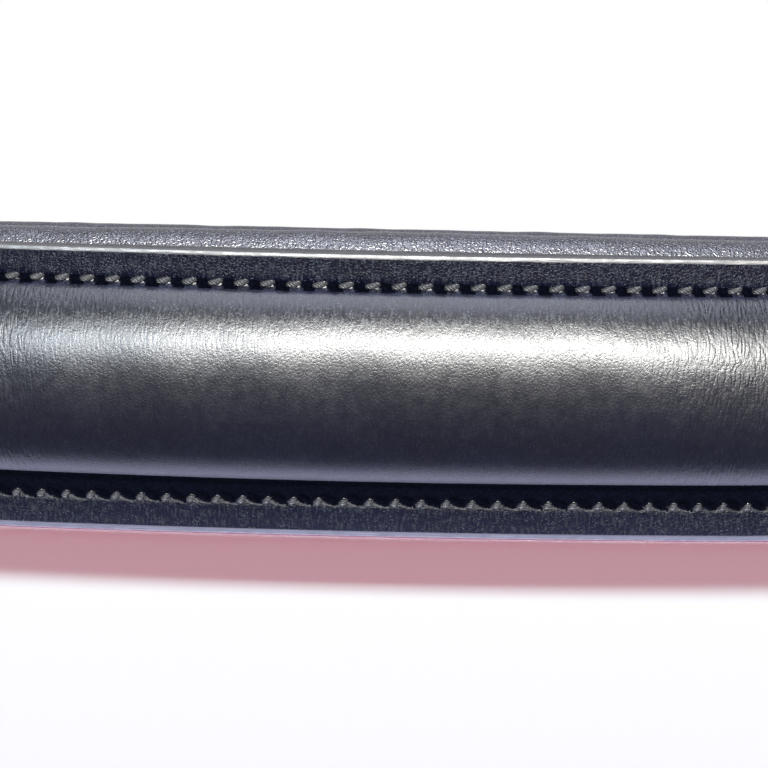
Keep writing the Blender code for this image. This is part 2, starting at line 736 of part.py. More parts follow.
def hanger(side_name, side):
    """One side's hanger: strap, buckle, tongue and two keepers, standing on the nosepiece's outer face."""
    place = side * HANGER_PLACE
    thickness = HANGER_THICKNESS
    face = GAP + BASE_THICKNESS + GAP + thickness / 2
    bend = HANGER_WIRE + GAP + thickness / 2
    bar_n = face - bend
    inner = face - thickness - GAP
    points = [(face, HANGER_FOOT), (face, HANGER_BAR_HEIGHT / 2)]
    for k in range(9):
        angle = math.pi * k / 8
        points.append((bar_n + bend * math.cos(angle), HANGER_BAR_HEIGHT + bend * math.sin(angle)))
    table = ((HANGER_BAR_HEIGHT, bar_n - bend), (HANGER_BAR_HEIGHT - HANGER_KEEPER_DROP * 0.7, inner))
    for share in (0.35, 0.7, 1.0):
        w = HANGER_BAR_HEIGHT - HANGER_KEEPER_DROP * 0.7 * share
        points.append((level(w, table), w))
    points.append((inner, HANGER_BAR_HEIGHT - HANGER_FOLD_LENGTH))
    half = HANGER_WIDTH / 2
    rows = [[NOSE.place(place + way * half, n, w) for way in (-1, 1)] for n, w in points]
    strap = sheet(f"{side_name}_hanger_strap", rows, thickness, EDGED, bevel=EDGE_BEVEL)
    through = bend + thickness + bend + GAP
    size = (TONGUE_HOLE_WIDTH, through, through)
    cut(strap, cutter_box(f"{side_name}_hanger_slot", size, NOSE.matrix(place, bar_n, HANGER_BAR_HEIGHT)))
    opening = half + SIDE_ROOM + HANGER_WIRE
    outline = rounded(0, HANGER_BUCKLE_PITCH, opening, HANGER_CORNER)
    ring_points = [NOSE.place(place + b, bar_n, HANGER_BAR_HEIGHT + a) for a, b in outline]
    frame = wire(f"{side_name}_hanger_buckle", ring_points, HANGER_WIRE, STEEL, cyclic=True)
    bend = HANGER_WIRE + GAP + TONGUE_WIRE * TONGUE_THIN_SHARE
    rest = HANGER_WIRE + GAP + TONGUE_WIRE
    shape = tongue_points(bend, 0.0, rest, HANGER_BUCKLE_PITCH)
    places = [NOSE.place(place, bar_n + b, HANGER_BAR_HEIGHT + a) for a, b in shape]
    tongue = wire(f"{side_name}_hanger_tongue", places, TONGUE_WIRE, STEEL, shares=TONGUE_SHARES)
    pivot(f"{side_name}_hanger_axis", NOSE.matrix(place, bar_n, HANGER_BAR_HEIGHT), [frame, tongue])
    low = inner - thickness / 2 - GAP
    high = face + thickness / 2 + GAP
    hanger_band(f"{side_name}_hanger_fixed_keeper", place, HANGER_KEEPER_DROP, low, high)
    loose = hanger_band(f"{side_name}_hanger_loose_keeper", place, HANGER_LOOSE_DROP, low, high)
    foot = NOSE.matrix(place, face, HANGER_BAR_HEIGHT - HANGER_LOOSE_DROP)
    pivot(f"{side_name}_hanger_keeper_axis", foot, [loose])


def hanger_band(name, place, drop, low, high):
    """A keeper round a hanger's two layers, with room outside them for the head strap's tail."""
    wall = KEEPER_THICKNESS / 2
    shape = rounded(low - wall, high + HANGER_BILLET_ROOM + wall, HANGER_WIDTH / 2 + GAP + wall, KEEPER_CORNER)
    rows = []
    for n, b in shape:
        ends = [HANGER_BAR_HEIGHT - drop + way * HANGER_KEEPER_WIDTH / 2 for way in (-1, 1)]
        rows.append([NOSE.place(place + b, n, w) for w in ends])
    return sheet(name, rows, KEEPER_THICKNESS, EDGED, closed_rows=True)


def nose_ring_chapes():
    """The folds that hold the rings on the nosepiece."""
    for side_name, side in (("left", -1), ("right", 1)):
        tail = side * (NOSE_BAR - CHAPE_LENGTH)
        fold(NOSE, f"{side_name}_ring_chape", side * NOSE_BAR, tail, BASE_MID, BASE_THICKNESS)


def chin_part():
    """Every piece that the chin carries, on a pivot at the left ring's far bar."""
    pieces = [
        fold(CHIN, "chin_ring_chape", -CHIN_BAR, CHAPE_LENGTH - CHIN_BAR, 0.0, CRANK_THICKNESS),
        crank_strap(),
        chin_backing(),
        *pad("chin", CHIN, CHIN_PAD_HALF, CHIN_PAD_FACE, chin_pad_half),
        buckle_chape(),
        crank_buckle(),
        *chin_keepers(),
    ]
    return pivot("chin_axis", Matrix.Translation(CHIN.place(-CHIN_BAR, 0.0, MID)), pieces)


def centre_on_origin():
    """Move everything so that the origin is under the middle of the whole object's box."""
    bpy.context.view_layer.update()
    graph = bpy.context.evaluated_depsgraph_get()
    points = []
    for item in PARTS.objects:
        if item.type in {"MESH", "CURVE"}:
            shown = item.evaluated_get(graph)
            mesh = shown.to_mesh()
            points += [shown.matrix_world @ vertex.co for vertex in mesh.vertices]
            shown.to_mesh_clear()
    x, y = ((min(p[k] for p in points) + max(p[k] for p in points)) / 2 for k in (0, 1))
    shift = Matrix.Translation((-x, -y, -min(p.z for p in points)))
    for item in [*PARTS.objects, *CUTTERS.objects]:
        if item.parent is None:
            item.matrix_world = shift @ item.matrix_world
    bpy.context.view_layer.update()


def build():
    """Make every piece."""
    base_strap()
    raised_cover()
    filler()
    pad("nosepiece", NOSE, NOSE_PAD_HALF, 0.0, nose_pad_half)
    nose_ring_chapes()
    left_ring = ring("left", -1)
    ring("right", 1)
    chin = chin_part()
    chin.parent = left_ring
    chin.matrix_parent_inverse = left_ring.matrix_world.inverted()
    hanger("left", -1)
    hanger("right", 1)
    centre_on_origin()
    for item in PARTS.objects:
        if item.type == "EMPTY":
            print(item.name, [round(v, 5) for v in item.matrix_world.translation])


build()
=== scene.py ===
"""Dresses the raised, padded bridle noseband: leather, sewing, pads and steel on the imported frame.

The loop lies in plan: X across, Y from the nose to the chin, Z up along the strap's width. A place
on a leather piece is given as s along its course, n outward from the loop and w up the strap's width.
"""

import json
import logging
import math
from dataclasses import dataclass, replace
from enum import Enum

import bpy
import numpy as np
from mathutils import Matrix, Vector


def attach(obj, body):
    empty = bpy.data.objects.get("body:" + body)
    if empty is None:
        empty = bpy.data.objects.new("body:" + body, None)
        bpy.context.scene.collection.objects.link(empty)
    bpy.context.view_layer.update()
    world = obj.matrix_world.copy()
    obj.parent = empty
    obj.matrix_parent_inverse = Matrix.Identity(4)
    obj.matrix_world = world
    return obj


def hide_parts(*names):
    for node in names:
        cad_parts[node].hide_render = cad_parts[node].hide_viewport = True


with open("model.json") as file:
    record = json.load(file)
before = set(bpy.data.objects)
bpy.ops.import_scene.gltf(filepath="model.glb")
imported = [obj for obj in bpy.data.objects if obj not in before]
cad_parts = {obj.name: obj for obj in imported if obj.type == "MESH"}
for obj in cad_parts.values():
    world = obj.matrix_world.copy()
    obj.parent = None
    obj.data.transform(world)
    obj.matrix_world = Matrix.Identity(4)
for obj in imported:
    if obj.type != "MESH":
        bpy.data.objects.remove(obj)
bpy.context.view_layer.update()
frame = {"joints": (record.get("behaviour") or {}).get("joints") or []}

logging.basicConfig(level=logging.INFO, format="%(message)s")
LOG = logging.getLogger("noseband")

Array = np.ndarray
Item = bpy.types.Object
Socket = bpy.types.NodeSocket
Pair = tuple[float, float]
Triple = tuple[float, float, float]
TURN = 2 * math.pi


class Row(Enum):
    """Which side of a strap's middle a row of stitches runs on."""

    UPPER = 1
    LOWER = -1


def smooth(share: Array) -> Array:
    """A smooth step from 0 to 1 as share goes from 0 to 1: three squares less two cubes."""
    share = np.clip(share, 0.0, 1.0)
    return share * share * (3 - 2 * share)


def ramp(place: Array, start: float, length: float) -> Array:
    """A smooth step from 0 at start to 1 a length further."""
    return smooth((place - start) / length)


def round_end(s: Array, half_length: float, fade: float, least: float = 0.0) -> Array:
    """1 along a piece, then a quarter circle down to the least share over its last stretch."""
    past = np.clip((np.abs(s) - (half_length - fade)) / fade, 0.0, 1.0)
    return least + (1 - least) * np.sqrt(1 - past * past)


def bell(distance: Array, reach: float) -> Array:
    """A soft hill of height 1 at distance 0, a share 1/e high at reach."""
    return np.exp(-((distance / reach) ** 2))


def unit(vectors: Array) -> Array:
    """Vectors scaled to length 1 along their last axis."""
    return vectors / np.linalg.norm(vectors, axis=-1, keepdims=True)


def joined(*parts: Array | float) -> Array:
    """Points from one array for each coordinate. A plain number stands for a whole row of it."""
    return np.stack(np.broadcast_arrays(*parts), -1)


def circle(angles: Array) -> Array:
    """The points of a circle of radius 1 at some angles."""
    return joined(np.cos(angles), np.sin(angles))


def ripple(places: Array, seed: int, longest: float, shortest: float) -> Array:
    """A seeded sum of eight sines between two wavelengths, with values from about -1 to 1.

    Args:
        places: where it is read, in metres.
        seed: picks the phases.
        longest: the longest wave, in metres.
        shortest: the shortest wave, in metres.

    Returns:
        The wave's height at each place.
    """
    chance = np.random.default_rng(seed)
    waves = longest * (shortest / longest) ** chance.uniform(0, 1, 8)
    phases = chance.uniform(0, TURN, 8)
    return np.sin(places[..., None] / waves * TURN + phases).sum(-1) / 4


@dataclass(frozen=True)
class Sizes:
    """The noseband's sizes in metres, the same as the solids were made with."""

    nose_stretches: tuple[Pair, ...] = ((0.320, 0.048), (0.050, 0.062), (0.400, 0.041))
    front_lean: float = math.radians(9)
    lean_reach: float = 0.100
    chin_half: float = 0.046
    jaw_radius: float = 0.0465
    jaw_turn: float = math.radians(85)
    jaw_end: float = 0.008
    nose_width: float = 0.032
    nose_end_width: float = 0.021
    base_thickness: float = 0.0020
    cover_thickness: float = 0.0013
    pad_bulge: float = 0.0013
    pad_depth: float = 0.0070
    floor_flat: float = 0.0005
    edge_lift: float = 0.00005
    taper_start: float = 0.100
    taper_length: float = 0.034
    crank_width: float = 0.019
    crank_thickness: float = 0.0025
    ring_pitch: float = 0.0175
    ring_wire: float = 0.00175
    bar_room: float = 0.00075
    chape_length: float = 0.0225
    gap: float = 0.0003

    @property
    def middle(self) -> float:
        """The height of every strap's middle."""
        return (self.nose_width + 2 * self.pad_bulge) / 2 - self.floor_flat

    @property
    def base_middle(self) -> float:
        """The middle of the base strap's thickness, as n."""
        return self.gap + self.base_thickness / 2

    @property
    def cover_face(self) -> float:
        """The front of the cover's flat margins, as n."""
        return 2 * self.gap + self.base_thickness + self.cover_thickness

    @property
    def nose_bar(self) -> float:
        """The rings' near bars, as s along the nosepiece."""
        return sum(length for _, length in self.nose_stretches)

    @property
    def chin_bar(self) -> float:
        """The rings' far bars, as s along the chin part."""
        return self.chin_half + self.jaw_radius * self.jaw_turn + self.jaw_end

    def nose_half(self, s: Array) -> Array:
        """Half the nosepiece strap's width, narrowing smoothly towards the rings."""
        taper = ramp(np.abs(s), self.taper_start, self.taper_length)
        return (self.nose_width + (self.nose_end_width - self.nose_width) * taper) / 2


SIZES = Sizes()


@dataclass(frozen=True)
class Course:
    """A strap's course in plan, from the middle of the loop's front or back to each ring's bar.

    stretches holds (radius, length) pairs, with radius 0 for a straight stretch.
    """

    stretches: tuple[Pair, ...]
    at_back: bool
    start: float
    front_lean: float
    offset: Triple = (0.0, 0.0, 0.0)

    def along(self, distance: Array) -> tuple[Array, Array, Array]:
        """X, Y and heading after a distance: each stretch adds an arc's or a line's run in turn."""
        x = np.zeros_like(distance)
        y = np.zeros_like(distance)
        heading = np.zeros_like(distance)
        left = distance
        for radius, length in self.stretches + ((0.0, 1.0),):
            run = np.clip(left, 0.0, length)
            if radius:
                turned = heading + run / radius
                x = x + radius * (np.sin(turned) - np.sin(heading))
                y = y + radius * (np.cos(heading) - np.cos(turned))
                heading = turned
            else:
                x = x + run * np.cos(heading)
                y = y + run * np.sin(heading)
            left = left - run
        return x, y, heading

    def frame(self, s: Array) -> tuple[Array, Array, Array]:
        """The point at n = w = 0, and the directions of n and w, at each s."""
        s = np.asarray(s, float)
        x, y, heading = self.along(np.abs(s))
        side = np.where(s < 0, -1.0, 1.0)
        back = -1.0 if self.at_back else 1.0
        lean = self.front_lean * (1 - smooth(np.abs(s) / SIZES.lean_reach))
        level = joined(side * np.sin(heading), -back * np.cos(heading), 0.0)
        rise_way = np.array([0.0, 0.0, 1.0])
        up = rise_way * np.cos(lean)[..., None] + level * np.sin(lean)[..., None]
        out = level * np.cos(lean)[..., None] - rise_way * np.sin(lean)[..., None]
        edge = (SIZES.middle - SIZES.nose_width / 2) * np.cos(lean) - SIZES.cover_face * np.sin(lean)
        rise = np.maximum(-SIZES.pad_depth / 2 * np.sin(lean), SIZES.edge_lift - edge)
        point = joined(side * x, self.start + back * y, rise) + np.array(self.offset)
        return point, out, up

    def place(self, s: Array, n: Array, w: Array) -> Array:
        """The places at s along the course, n outward and w up, for arrays of one shape."""
        s, n, w = np.broadcast_arrays(s, n, w)
        point, out, up = self.frame(s)
        return point + out * n[..., None] + up * w[..., None]


def courses(ring_axis: Triple) -> tuple[Course, Course, float]:
    """The nosepiece's and the chin part's courses, and the rings' heading.

    Args:
        ring_axis: the left ring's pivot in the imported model, which sets the courses in its frame.

    Returns:
        The two courses and the heading of the rings from the nosepiece to the chin part.
    """
    nose = Course(SIZES.nose_stretches, False, 0.0, SIZES.front_lean)
    jaw = (SIZES.jaw_radius, SIZES.jaw_radius * SIZES.jaw_turn)
    chin = Course(((0.0, SIZES.chin_half), jaw, (0.0, SIZES.jaw_end)), True, 0.0, 0.0)
    near = nose.place(np.array(SIZES.nose_bar), SIZES.base_middle, SIZES.middle)
    far_x, far_y, _ = chin.along(np.array(SIZES.chin_bar))
    heading = math.acos((far_x - near[0]) / SIZES.ring_pitch)
    depth = near[1] + SIZES.ring_pitch * math.sin(heading) + far_y
    start = nose.place(np.array(-SIZES.nose_bar), SIZES.base_middle, SIZES.middle)
    offset = tuple(np.array(ring_axis) - start)
    return replace(nose, offset=offset), replace(chin, start=float(depth), offset=offset), heading


NOSE, CHIN, RING_HEADING = courses(
    next(joint["pos_m"] for joint in frame["joints"] if joint["name"] == "left_ring_swing")
)


class Mesher:
    """Turns whole arrays of points into finished mesh pieces."""

    @staticmethod
    def piece(name: str, points: Array, faces: Array, caps: list[Array], corner_uv: Array) -> Item:
        """A mesh object from points, quads and end caps, shaded smooth.

        Args:
            name: the piece's name.
            points: (k, 3) places in metres.
            faces: (m, 4) corners of each quad.
            caps: the corners of each end cap, in order.
            corner_uv: (corners, 2) lengths along and round the piece, in metres.

        Returns:
            The new object, at the origin.
        """
        mesh = bpy.data.meshes.new(name)
        corners = np.concatenate([faces.ravel(), *caps]).astype(np.int32)
        totals = np.array([4] * len(faces) + [len(cap) for cap in caps], np.int32)
        starts = np.concatenate([[0], np.cumsum(totals)[:-1]]).astype(np.int32)
        mesh.vertices.add(len(points))
        mesh.vertices.foreach_set("co", points.astype(np.float32).ravel())
        mesh.loops.add(len(corners))
        mesh.loops.foreach_set("vertex_index", corners)
        mesh.polygons.add(len(totals))
        mesh.polygons.foreach_set("loop_start", starts)
        mesh.polygons.foreach_set("loop_total", totals)
        mesh.update(calc_edges=True)
        layer = mesh.uv_layers.new(name="run")
        layer.data.foreach_set("uv", corner_uv.astype(np.float32).ravel())
        mesh.validate()
        mesh.shade_smooth()
        item = bpy.data.objects.new(name, mesh)
        bpy.context.scene.collection.objects.link(item)
        return item

    @staticmethod
    def grid(name: str, grid: Array, round_u: bool = False, sharp: float = 60.0) -> Item:
        """A closed surface through a (u, v, 3) grid, round in v, and round or capped in u.

        Each quad joins the points (i, j), (i + 1, j), (i + 1, j + 1) and (i, j + 1).

        Args:
            name: the piece's name.
            grid: the points.
            round_u: whether the surface closes on itself in u. If not, its ends are capped.
            sharp: the angle in degrees past which an edge is shown sharp.

        Returns:
            The piece, with its faces outward.
        """
        rows, across = grid.shape[:2]
        down = rows if round_u else rows - 1
        i, j = np.meshgrid(np.arange(down), np.arange(across), indexing="ij")
        corner_i = np.stack([i, i + 1, i + 1, i], -1).reshape(-1, 4)
        corner_j = np.stack([j, j, j + 1, j + 1], -1).reshape(-1, 4)
        faces = (corner_i % rows) * across + corner_j % across
        along = np.linalg.norm(np.diff(np.concatenate([grid, grid[:1]]), axis=0), axis=-1).mean(1)
        ring = np.concatenate([grid, grid[:, :1]], axis=1)
        round_way = np.linalg.norm(np.diff(ring, axis=1), axis=-1).mean(0)
        u = np.concatenate([[0], np.cumsum(along)])
        v = np.concatenate([[0], np.cumsum(round_way)])
        corner_uv = joined(u[corner_i.ravel()], v[corner_j.ravel()])
        caps = []
        if not round_u:
            caps = [np.arange(across), (rows - 1) * across + np.arange(across)[::-1]]
            ends = [joined(end, v[:across]) for end in (u[0], u[rows - 1])]
            corner_uv = np.concatenate([corner_uv, *ends])
        item = Mesher.piece(name, grid.reshape(-1, 3), faces, caps, corner_uv)
        Mesher.outward(item)
        item.data.set_sharp_from_angle(angle=math.radians(sharp))
        return item

    @staticmethod
    def outward(item: Item) -> None:
        """Turn every face of a closed piece the other way where its signed volume is below zero."""
        mesh = item.data
        mesh.calc_loop_triangles()
        corners = np.empty(len(mesh.loop_triangles) * 3, np.int32)
        mesh.loop_triangles.foreach_get("vertices", corners)
        points = np.empty(len(mesh.vertices) * 3, np.float32)
        mesh.vertices.foreach_get("co", points)
        a, b, c = points.reshape(-1, 3)[corners.reshape(-1, 3)].transpose(1, 0, 2).astype(float)
        middle = points.reshape(-1, 3).mean(0)
        if np.einsum("ij,ij->i", a - middle, np.cross(b - middle, c - middle)).sum() < 0:
            mesh.flip_normals()

    @staticmethod
    def bore(item: Item, tools: list[Item]) -> None:
        """Cut each tool out of a piece, then drop the tools."""
        for tool in tools:
            step = item.modifiers.new("cut", "BOOLEAN")
            step.operation = "DIFFERENCE"
            step.solver = "EXACT"
            step.object = tool
        bpy.context.view_layer.update()
        cut_mesh = bpy.data.meshes.new_from_object(item.evaluated_get(bpy.context.evaluated_depsgraph_get()))
        item.modifiers.clear()
        item.data = cut_mesh
        for tool in tools:
            bpy.data.objects.remove(tool)

    @staticmethod
    def oval(course: Course, centre: Triple, halves: Pair, depth: float, points: int) -> Item:
        """A cutter through a strap: a circle whose halves are drawn apart along its long way.

        Args:
            course: the strap's course.
            centre: its middle, as s, n and w.
            halves: its half sizes along s and up w.
            depth: its length along n.
            points: the points round it.

        Returns:
            The cutter, painted as a cut edge is.
        """
        angles = np.linspace(0, TURN, points, endpoint=False)
        turned = circle(angles)
        short = min(halves)
        outline = short * turned + (np.array(halves) - short) * np.sign(np.round(turned, 6))
        levels = centre[1] + np.array([-depth, depth]) / 2
        grid = course.place(centre[0] + outline[:, 0], levels[:, None], centre[2] + outline[:, 1])
        item = Mesher.grid("cutter", grid)
        item.data.materials.append(Dresser.material(PAINT))
        return item

    @staticmethod
    def tangents(path: Array, closed: bool) -> Array:
        """The unit direction of a path at each of its points."""
        if closed:
            return unit(np.roll(path, -1, 0) - np.roll(path, 1, 0))
        return unit(np.gradient(path, axis=0))

    @staticmethod
    def wire(
        name: str, path: Array, plane: Array, radii: Array | float, closed: bool, sides: int = 20
    ) -> Item:
        """A round wire along a flat path: each section is a circle on the plane's normal and its cross.

        Args:
            name: the piece's name.
            path: (k, 3) middle line, all in one plane.
            plane: the plane's unit normal.
            radii: (k,) radii, or one for all.
            closed: whether the wire closes on itself.
            sides: the points round each circle.

        Returns:
            The wire.
        """
        side = unit(np.cross(Mesher.tangents(path, closed), plane))
        angles = np.linspace(0, TURN, sides, endpoint=False)
        spokes = side[:, None] * np.cos(angles)[None, :, None] + plane * np.sin(angles)[None, :, None]
        grid = path[:, None] + spokes * np.broadcast_to(radii, len(path))[:, None, None]
        return Mesher.grid(name, grid, round_u=closed)

    @staticmethod
    def rounded(
        low: float, high: float, half: float, corner: float, turns: int = 10, fills: int = 8
    ) -> Array:
        """A rounded rectangle's (a, b) points, with its sides evenly filled.

        Args:
            low: its lowest a.
            high: its highest a.
            half: half its size in b.
            corner: its corners' radius.
            turns: the steps round each corner.
            fills: the points between two corners.

        Returns:
            The points in order.
        """
        angles = np.linspace(0, math.pi / 2, turns + 1)
        centres = ((high - corner, half - corner), (low + corner, half - corner))
        centres += ((low + corner, corner - half), (high - corner, corner - half))
        corners = []
        for quarter, centre in enumerate(centres):
            corners.append(np.array(centre) + corner * circle(angles + quarter * math.pi / 2))
        parts = []
        for k, points in enumerate(corners):
            after = corners[(k + 1) % 4][0]
            shares = np.linspace(0, 1, fills + 2)[1:-1, None]
            parts += [points, points[-1] + (after - points[-1]) * shares]
        return np.concatenate(parts)

    @staticmethod
    def mark(item: Item, name: str, values: Array) -> None:
        """Store a number at each point of a piece, for its material to read."""
        layer = item.data.attributes.new(name, "FLOAT", "POINT")
        layer.data.foreach_set("value", values.astype(np.float32).ravel())


class Nodes:
    """Adds and links the nodes of one material or world."""

    def __init__(self, owner: bpy.types.Material | bpy.types.World) -> None:
        """Start the owner's nodes anew, with no more than an output and the coordinates."""
        self.owner = owner
        owner.use_nodes = True
        self.tree = owner.node_tree
        self.tree.nodes.clear()
        kind = "ShaderNodeOutputWorld" if isinstance(owner, bpy.types.World) else "ShaderNodeOutputMaterial"
        self.output = self.add(kind)
        self.coordinates = self.add("ShaderNodeTexCoord")

    def add(self, kind: str, **settings: object) -> bpy.types.Node:
        """A new node with its settings.

        Args:
            kind: Blender's name of the node type.
            settings: the node's own settings.

        Returns:
            The node.
        """
        node = self.tree.nodes.new(kind)
        for key, value in settings.items():
            setattr(node, key, value)
        return node

    def feed(self, socket: Socket, value: object) -> None:
        """Link an output to a socket, or set the socket to a plain value."""
        if isinstance(value, Socket):
            self.tree.links.new(value, socket)
        else:
            socket.default_value = value

    def calc(self, operation: str, *values: object) -> Socket:
        """The result of a sum on two or three values, by Blender's name of the operation."""
        node = self.add("ShaderNodeMath", operation=operation)
        for socket, value in zip(node.inputs, values):
            self.feed(socket, value)
        return node.outputs[0]

    def span(
        self, value: object, low: float, high: float, to_low: float = 0.0, to_high: float = 1.0
    ) -> Socket:
        """The value moved smoothly from one range to another and held at its ends."""
        node = self.add("ShaderNodeMapRange", interpolation_type="SMOOTHSTEP")
        for socket, given in zip(node.inputs, (value, low, high, to_low, to_high)):
            self.feed(socket, given)
        return node.outputs[0]

    def tint(self, socket: Socket, colour: object) -> None:
        """Link a colour to a socket, or set the socket to a plain red, green and blue."""
        self.feed(socket, colour if isinstance(colour, Socket) else (*colour, 1))

    def blend(self, share: object, first: object, second: object) -> Socket:
        """The first colour where share is 0, and the second where it is 1."""
        node = self.add("ShaderNodeMix", data_type="RGBA")
        self.feed(node.inputs[0], share)
        self.tint(node.inputs[6], first)
        self.tint(node.inputs[7], second)
        return node.outputs[2]

    def stretched(self, along: float, across: float, turn: float = 0.0) -> Socket:
        """The piece's UV run, in lengths of along and across, after a turn in radians."""
        node = self.add("ShaderNodeMapping", vector_type="POINT")
        self.feed(node.inputs["Vector"], self.coordinates.outputs["UV"])
        node.inputs["Scale"].default_value = (1 / along, 1 / across, 1.0)
        node.inputs["Rotation"].default_value = (0, 0, turn)
        return node.outputs[0]

    def noise(self, size: float, detail: float = 2.0, place: object = None) -> Socket:
        """A cloudy pattern with blots of about the given size in metres, or 1 on a stretched place."""
        node = self.add("ShaderNodeTexNoise")
        self.feed(node.inputs["Vector"], place or self.coordinates.outputs["Object"])
        node.inputs["Scale"].default_value = 1 / size
        node.inputs["Detail"].default_value = detail
        return node.outputs[0]

    def swirled(self, place: object, reach: float, scale: float) -> Socket:
        """A place moved about by a cloudy noise, so that a pattern on it loses its straight lines.

        Args:
            place: the coordinates.
            reach: how far they are moved.
            scale: the noise's scale.

        Returns:
            The moved coordinates.
        """
        cloud = self.add("ShaderNodeTexNoise")
        self.feed(cloud.inputs["Vector"], place)
        cloud.inputs["Scale"].default_value = scale
        move = self.add("ShaderNodeVectorMath", operation="MULTIPLY_ADD")
        self.feed(move.inputs[0], cloud.outputs["Color"])
        move.inputs[1].default_value = (reach, reach, reach)
        self.feed(move.inputs[2], place)
        return move.outputs[0]

    def cells(self, size: float, feature: str, place: object = None) -> Socket:
        """A cell pattern's distance, with cells of about the given size in metres."""
        node = self.add("ShaderNodeTexVoronoi", feature=feature)
        self.feed(node.inputs["Vector"], place or self.coordinates.outputs["Object"])
        node.inputs["Scale"].default_value = 1 / size
        return node.outputs["Distance"]

    def mark(self, name: str) -> Socket:
        """A number stored on the piece's points, or 0 where it has none."""
        return self.add("ShaderNodeAttribute", attribute_name=name).outputs["Fac"]

    def bump(self, height: object, depth: float, under: object = None) -> Socket:
        """A normal that shows a height of 0 to 1 as a relief of the given depth in metres."""
        node = self.add("ShaderNodeBump")
        node.inputs["Strength"].default_value = 1.0
        node.inputs["Distance"].default_value = depth
        self.feed(node.inputs["Height"], height)
        if under:
            self.feed(node.inputs["Normal"], under)
        return node.outputs[0]

    def plain(self, kind: str, colour: object, strength: object = None) -> Socket:
        """A diffuse, emission or background shader of a colour, with a strength where it has one."""
        node = self.add(kind)
        self.tint(node.inputs["Color"], colour)
        if strength is not None:
            self.feed(node.inputs["Strength"], strength)
        return node.outputs[0]

    def mixed(self, share: object, first: Socket, second: Socket) -> Socket:
        """The first shader where share is 0, and the second where it is 1."""
        node = self.add("ShaderNodeMixShader")
        for socket, given in zip(node.inputs, (share, first, second)):
            self.feed(socket, given)
        return node.outputs[0]

    def seen(self) -> Socket:
        """1 for rays that show a surface (camera, glossy and transmission rays), and 0 for others."""
        path = self.add("ShaderNodeLightPath")
        share = self.calc("MAXIMUM", path.outputs["Is Camera Ray"], path.outputs["Is Glossy Ray"])
        return self.calc("MAXIMUM", share, path.outputs["Is Transmission Ray"])

    def close(
        self, colour: object, roughness: object, normal: object = None, **fixed: float
    ) -> bpy.types.Material:
        """Feed the shader and return the material.

        Args:
            colour: the base colour.
            roughness: the roughness.
            normal: the bumped normal, or None.
            fixed: other sockets' names, with low lines for spaces, and their plain values.

        Returns:
            The finished material.
        """
        shader = self.add("ShaderNodeBsdfPrincipled")
        self.tint(shader.inputs["Base Color"], colour)
        self.feed(shader.inputs["Roughness"], roughness)
        if normal:
            self.feed(shader.inputs["Normal"], normal)
        for key, value in fixed.items():
            shader.inputs[key.replace("_", " ")].default_value = value
        self.feed(self.output.inputs[0], shader.outputs[0])
        return self.owner


@dataclass(frozen=True)
class Leather:
    """A dyed leather: pebbled grain, creases across the strap, uneven dye, dust, a soft gloss and a painted
    highlight where marked.
    """

    name: str
    colour: Triple
    faded: Triple
    roughness: float
    grain: float
    grain_depth: float
    crease_depth: float
    gloss: float
    dust: float

    def make(self) -> bpy.types.Material:
        """The leather's material.

        Its relief is the grain's cells, warped by a noise, with pores, then folds that run across the
        strap where the piece is marked for creases, then a slow swell. Over its uneven dye lie specks
        of dust and streaks of wax bloom, more where the piece is marked, and a painted highlight: a
        pale colour where the piece is marked for one.
        """
        nodes = Nodes(bpy.data.materials.new(self.name))
        place = nodes.swirled(nodes.coordinates.outputs["Object"], self.grain * 0.8, 0.8 / self.grain)
        pebbles = nodes.span(nodes.cells(self.grain, "DISTANCE_TO_EDGE", place), 0.0, 0.28)
        pores = nodes.noise(self.grain * 0.6, 3.0)
        height = nodes.calc("ADD", nodes.calc("MULTIPLY", pebbles, 0.6), nodes.calc("MULTIPLY", pores, 0.35))
        normal = nodes.bump(height, self.grain_depth)
        run = nodes.swirled(nodes.stretched(0.00055, 0.0021, 0.20), 0.55, 1.3)
        folds = nodes.span(nodes.cells(1.0, "DISTANCE_TO_EDGE", run), 0.0, 0.30)
        amount = nodes.calc("MULTIPLY_ADD", nodes.mark("crease"), 0.78, 0.22)
        normal = nodes.bump(nodes.calc("MULTIPLY", folds, amount), self.crease_depth, normal)
        normal = nodes.bump(nodes.noise(self.grain * 5.0), self.grain_depth * 1.6, normal)
        uneven = nodes.span(nodes.noise(0.012, 3.0), 0.35, 0.7)
        colour = nodes.blend(uneven, self.colour, self.faded)
        specks = nodes.span(nodes.cells(0.00030, "F1"), 0.36, 0.12)
        patches = nodes.span(nodes.noise(0.0016, 3.0), 0.40, 0.62)
        bloom = nodes.span(nodes.noise(1.0, 3.0, nodes.stretched(0.0003, 0.0010)), 0.46, 0.76, 0.0, 0.34)
        dusty = nodes.calc("MAXIMUM", nodes.calc("MULTIPLY", specks, patches), bloom)
        marked = nodes.calc("ADD", nodes.mark("dust"), 0.25)
        dusty = nodes.calc("MULTIPLY", nodes.calc("MULTIPLY", dusty, self.dust), marked)
        colour = nodes.blend(dusty, colour, DUST_COLOUR)
        # Painted highlight: a pale colour where the piece is marked, standing for light caught on the lip
        # under each upper stitch and on the front's rounded edges.
        highlight_share = nodes.calc("MULTIPLY", nodes.mark("wear"), nodes.span(nodes.noise(0.0009, 3.0), 0.25, 0.6))
        colour = nodes.blend(highlight_share, colour, tuple(4.5 * part + 0.035 for part in self.faded))
        rough = nodes.calc("MULTIPLY_ADD", nodes.noise(self.grain * 3.0, 3.0), 0.16, self.roughness - 0.08)
        rough = nodes.calc("MULTIPLY_ADD", dusty, 0.3, rough)
        rough = nodes.calc("MULTIPLY_ADD", nodes.mark("margin"), -0.08, rough)
        return nodes.close(colour, rough, normal, Specular_IOR_Level=self.gloss)


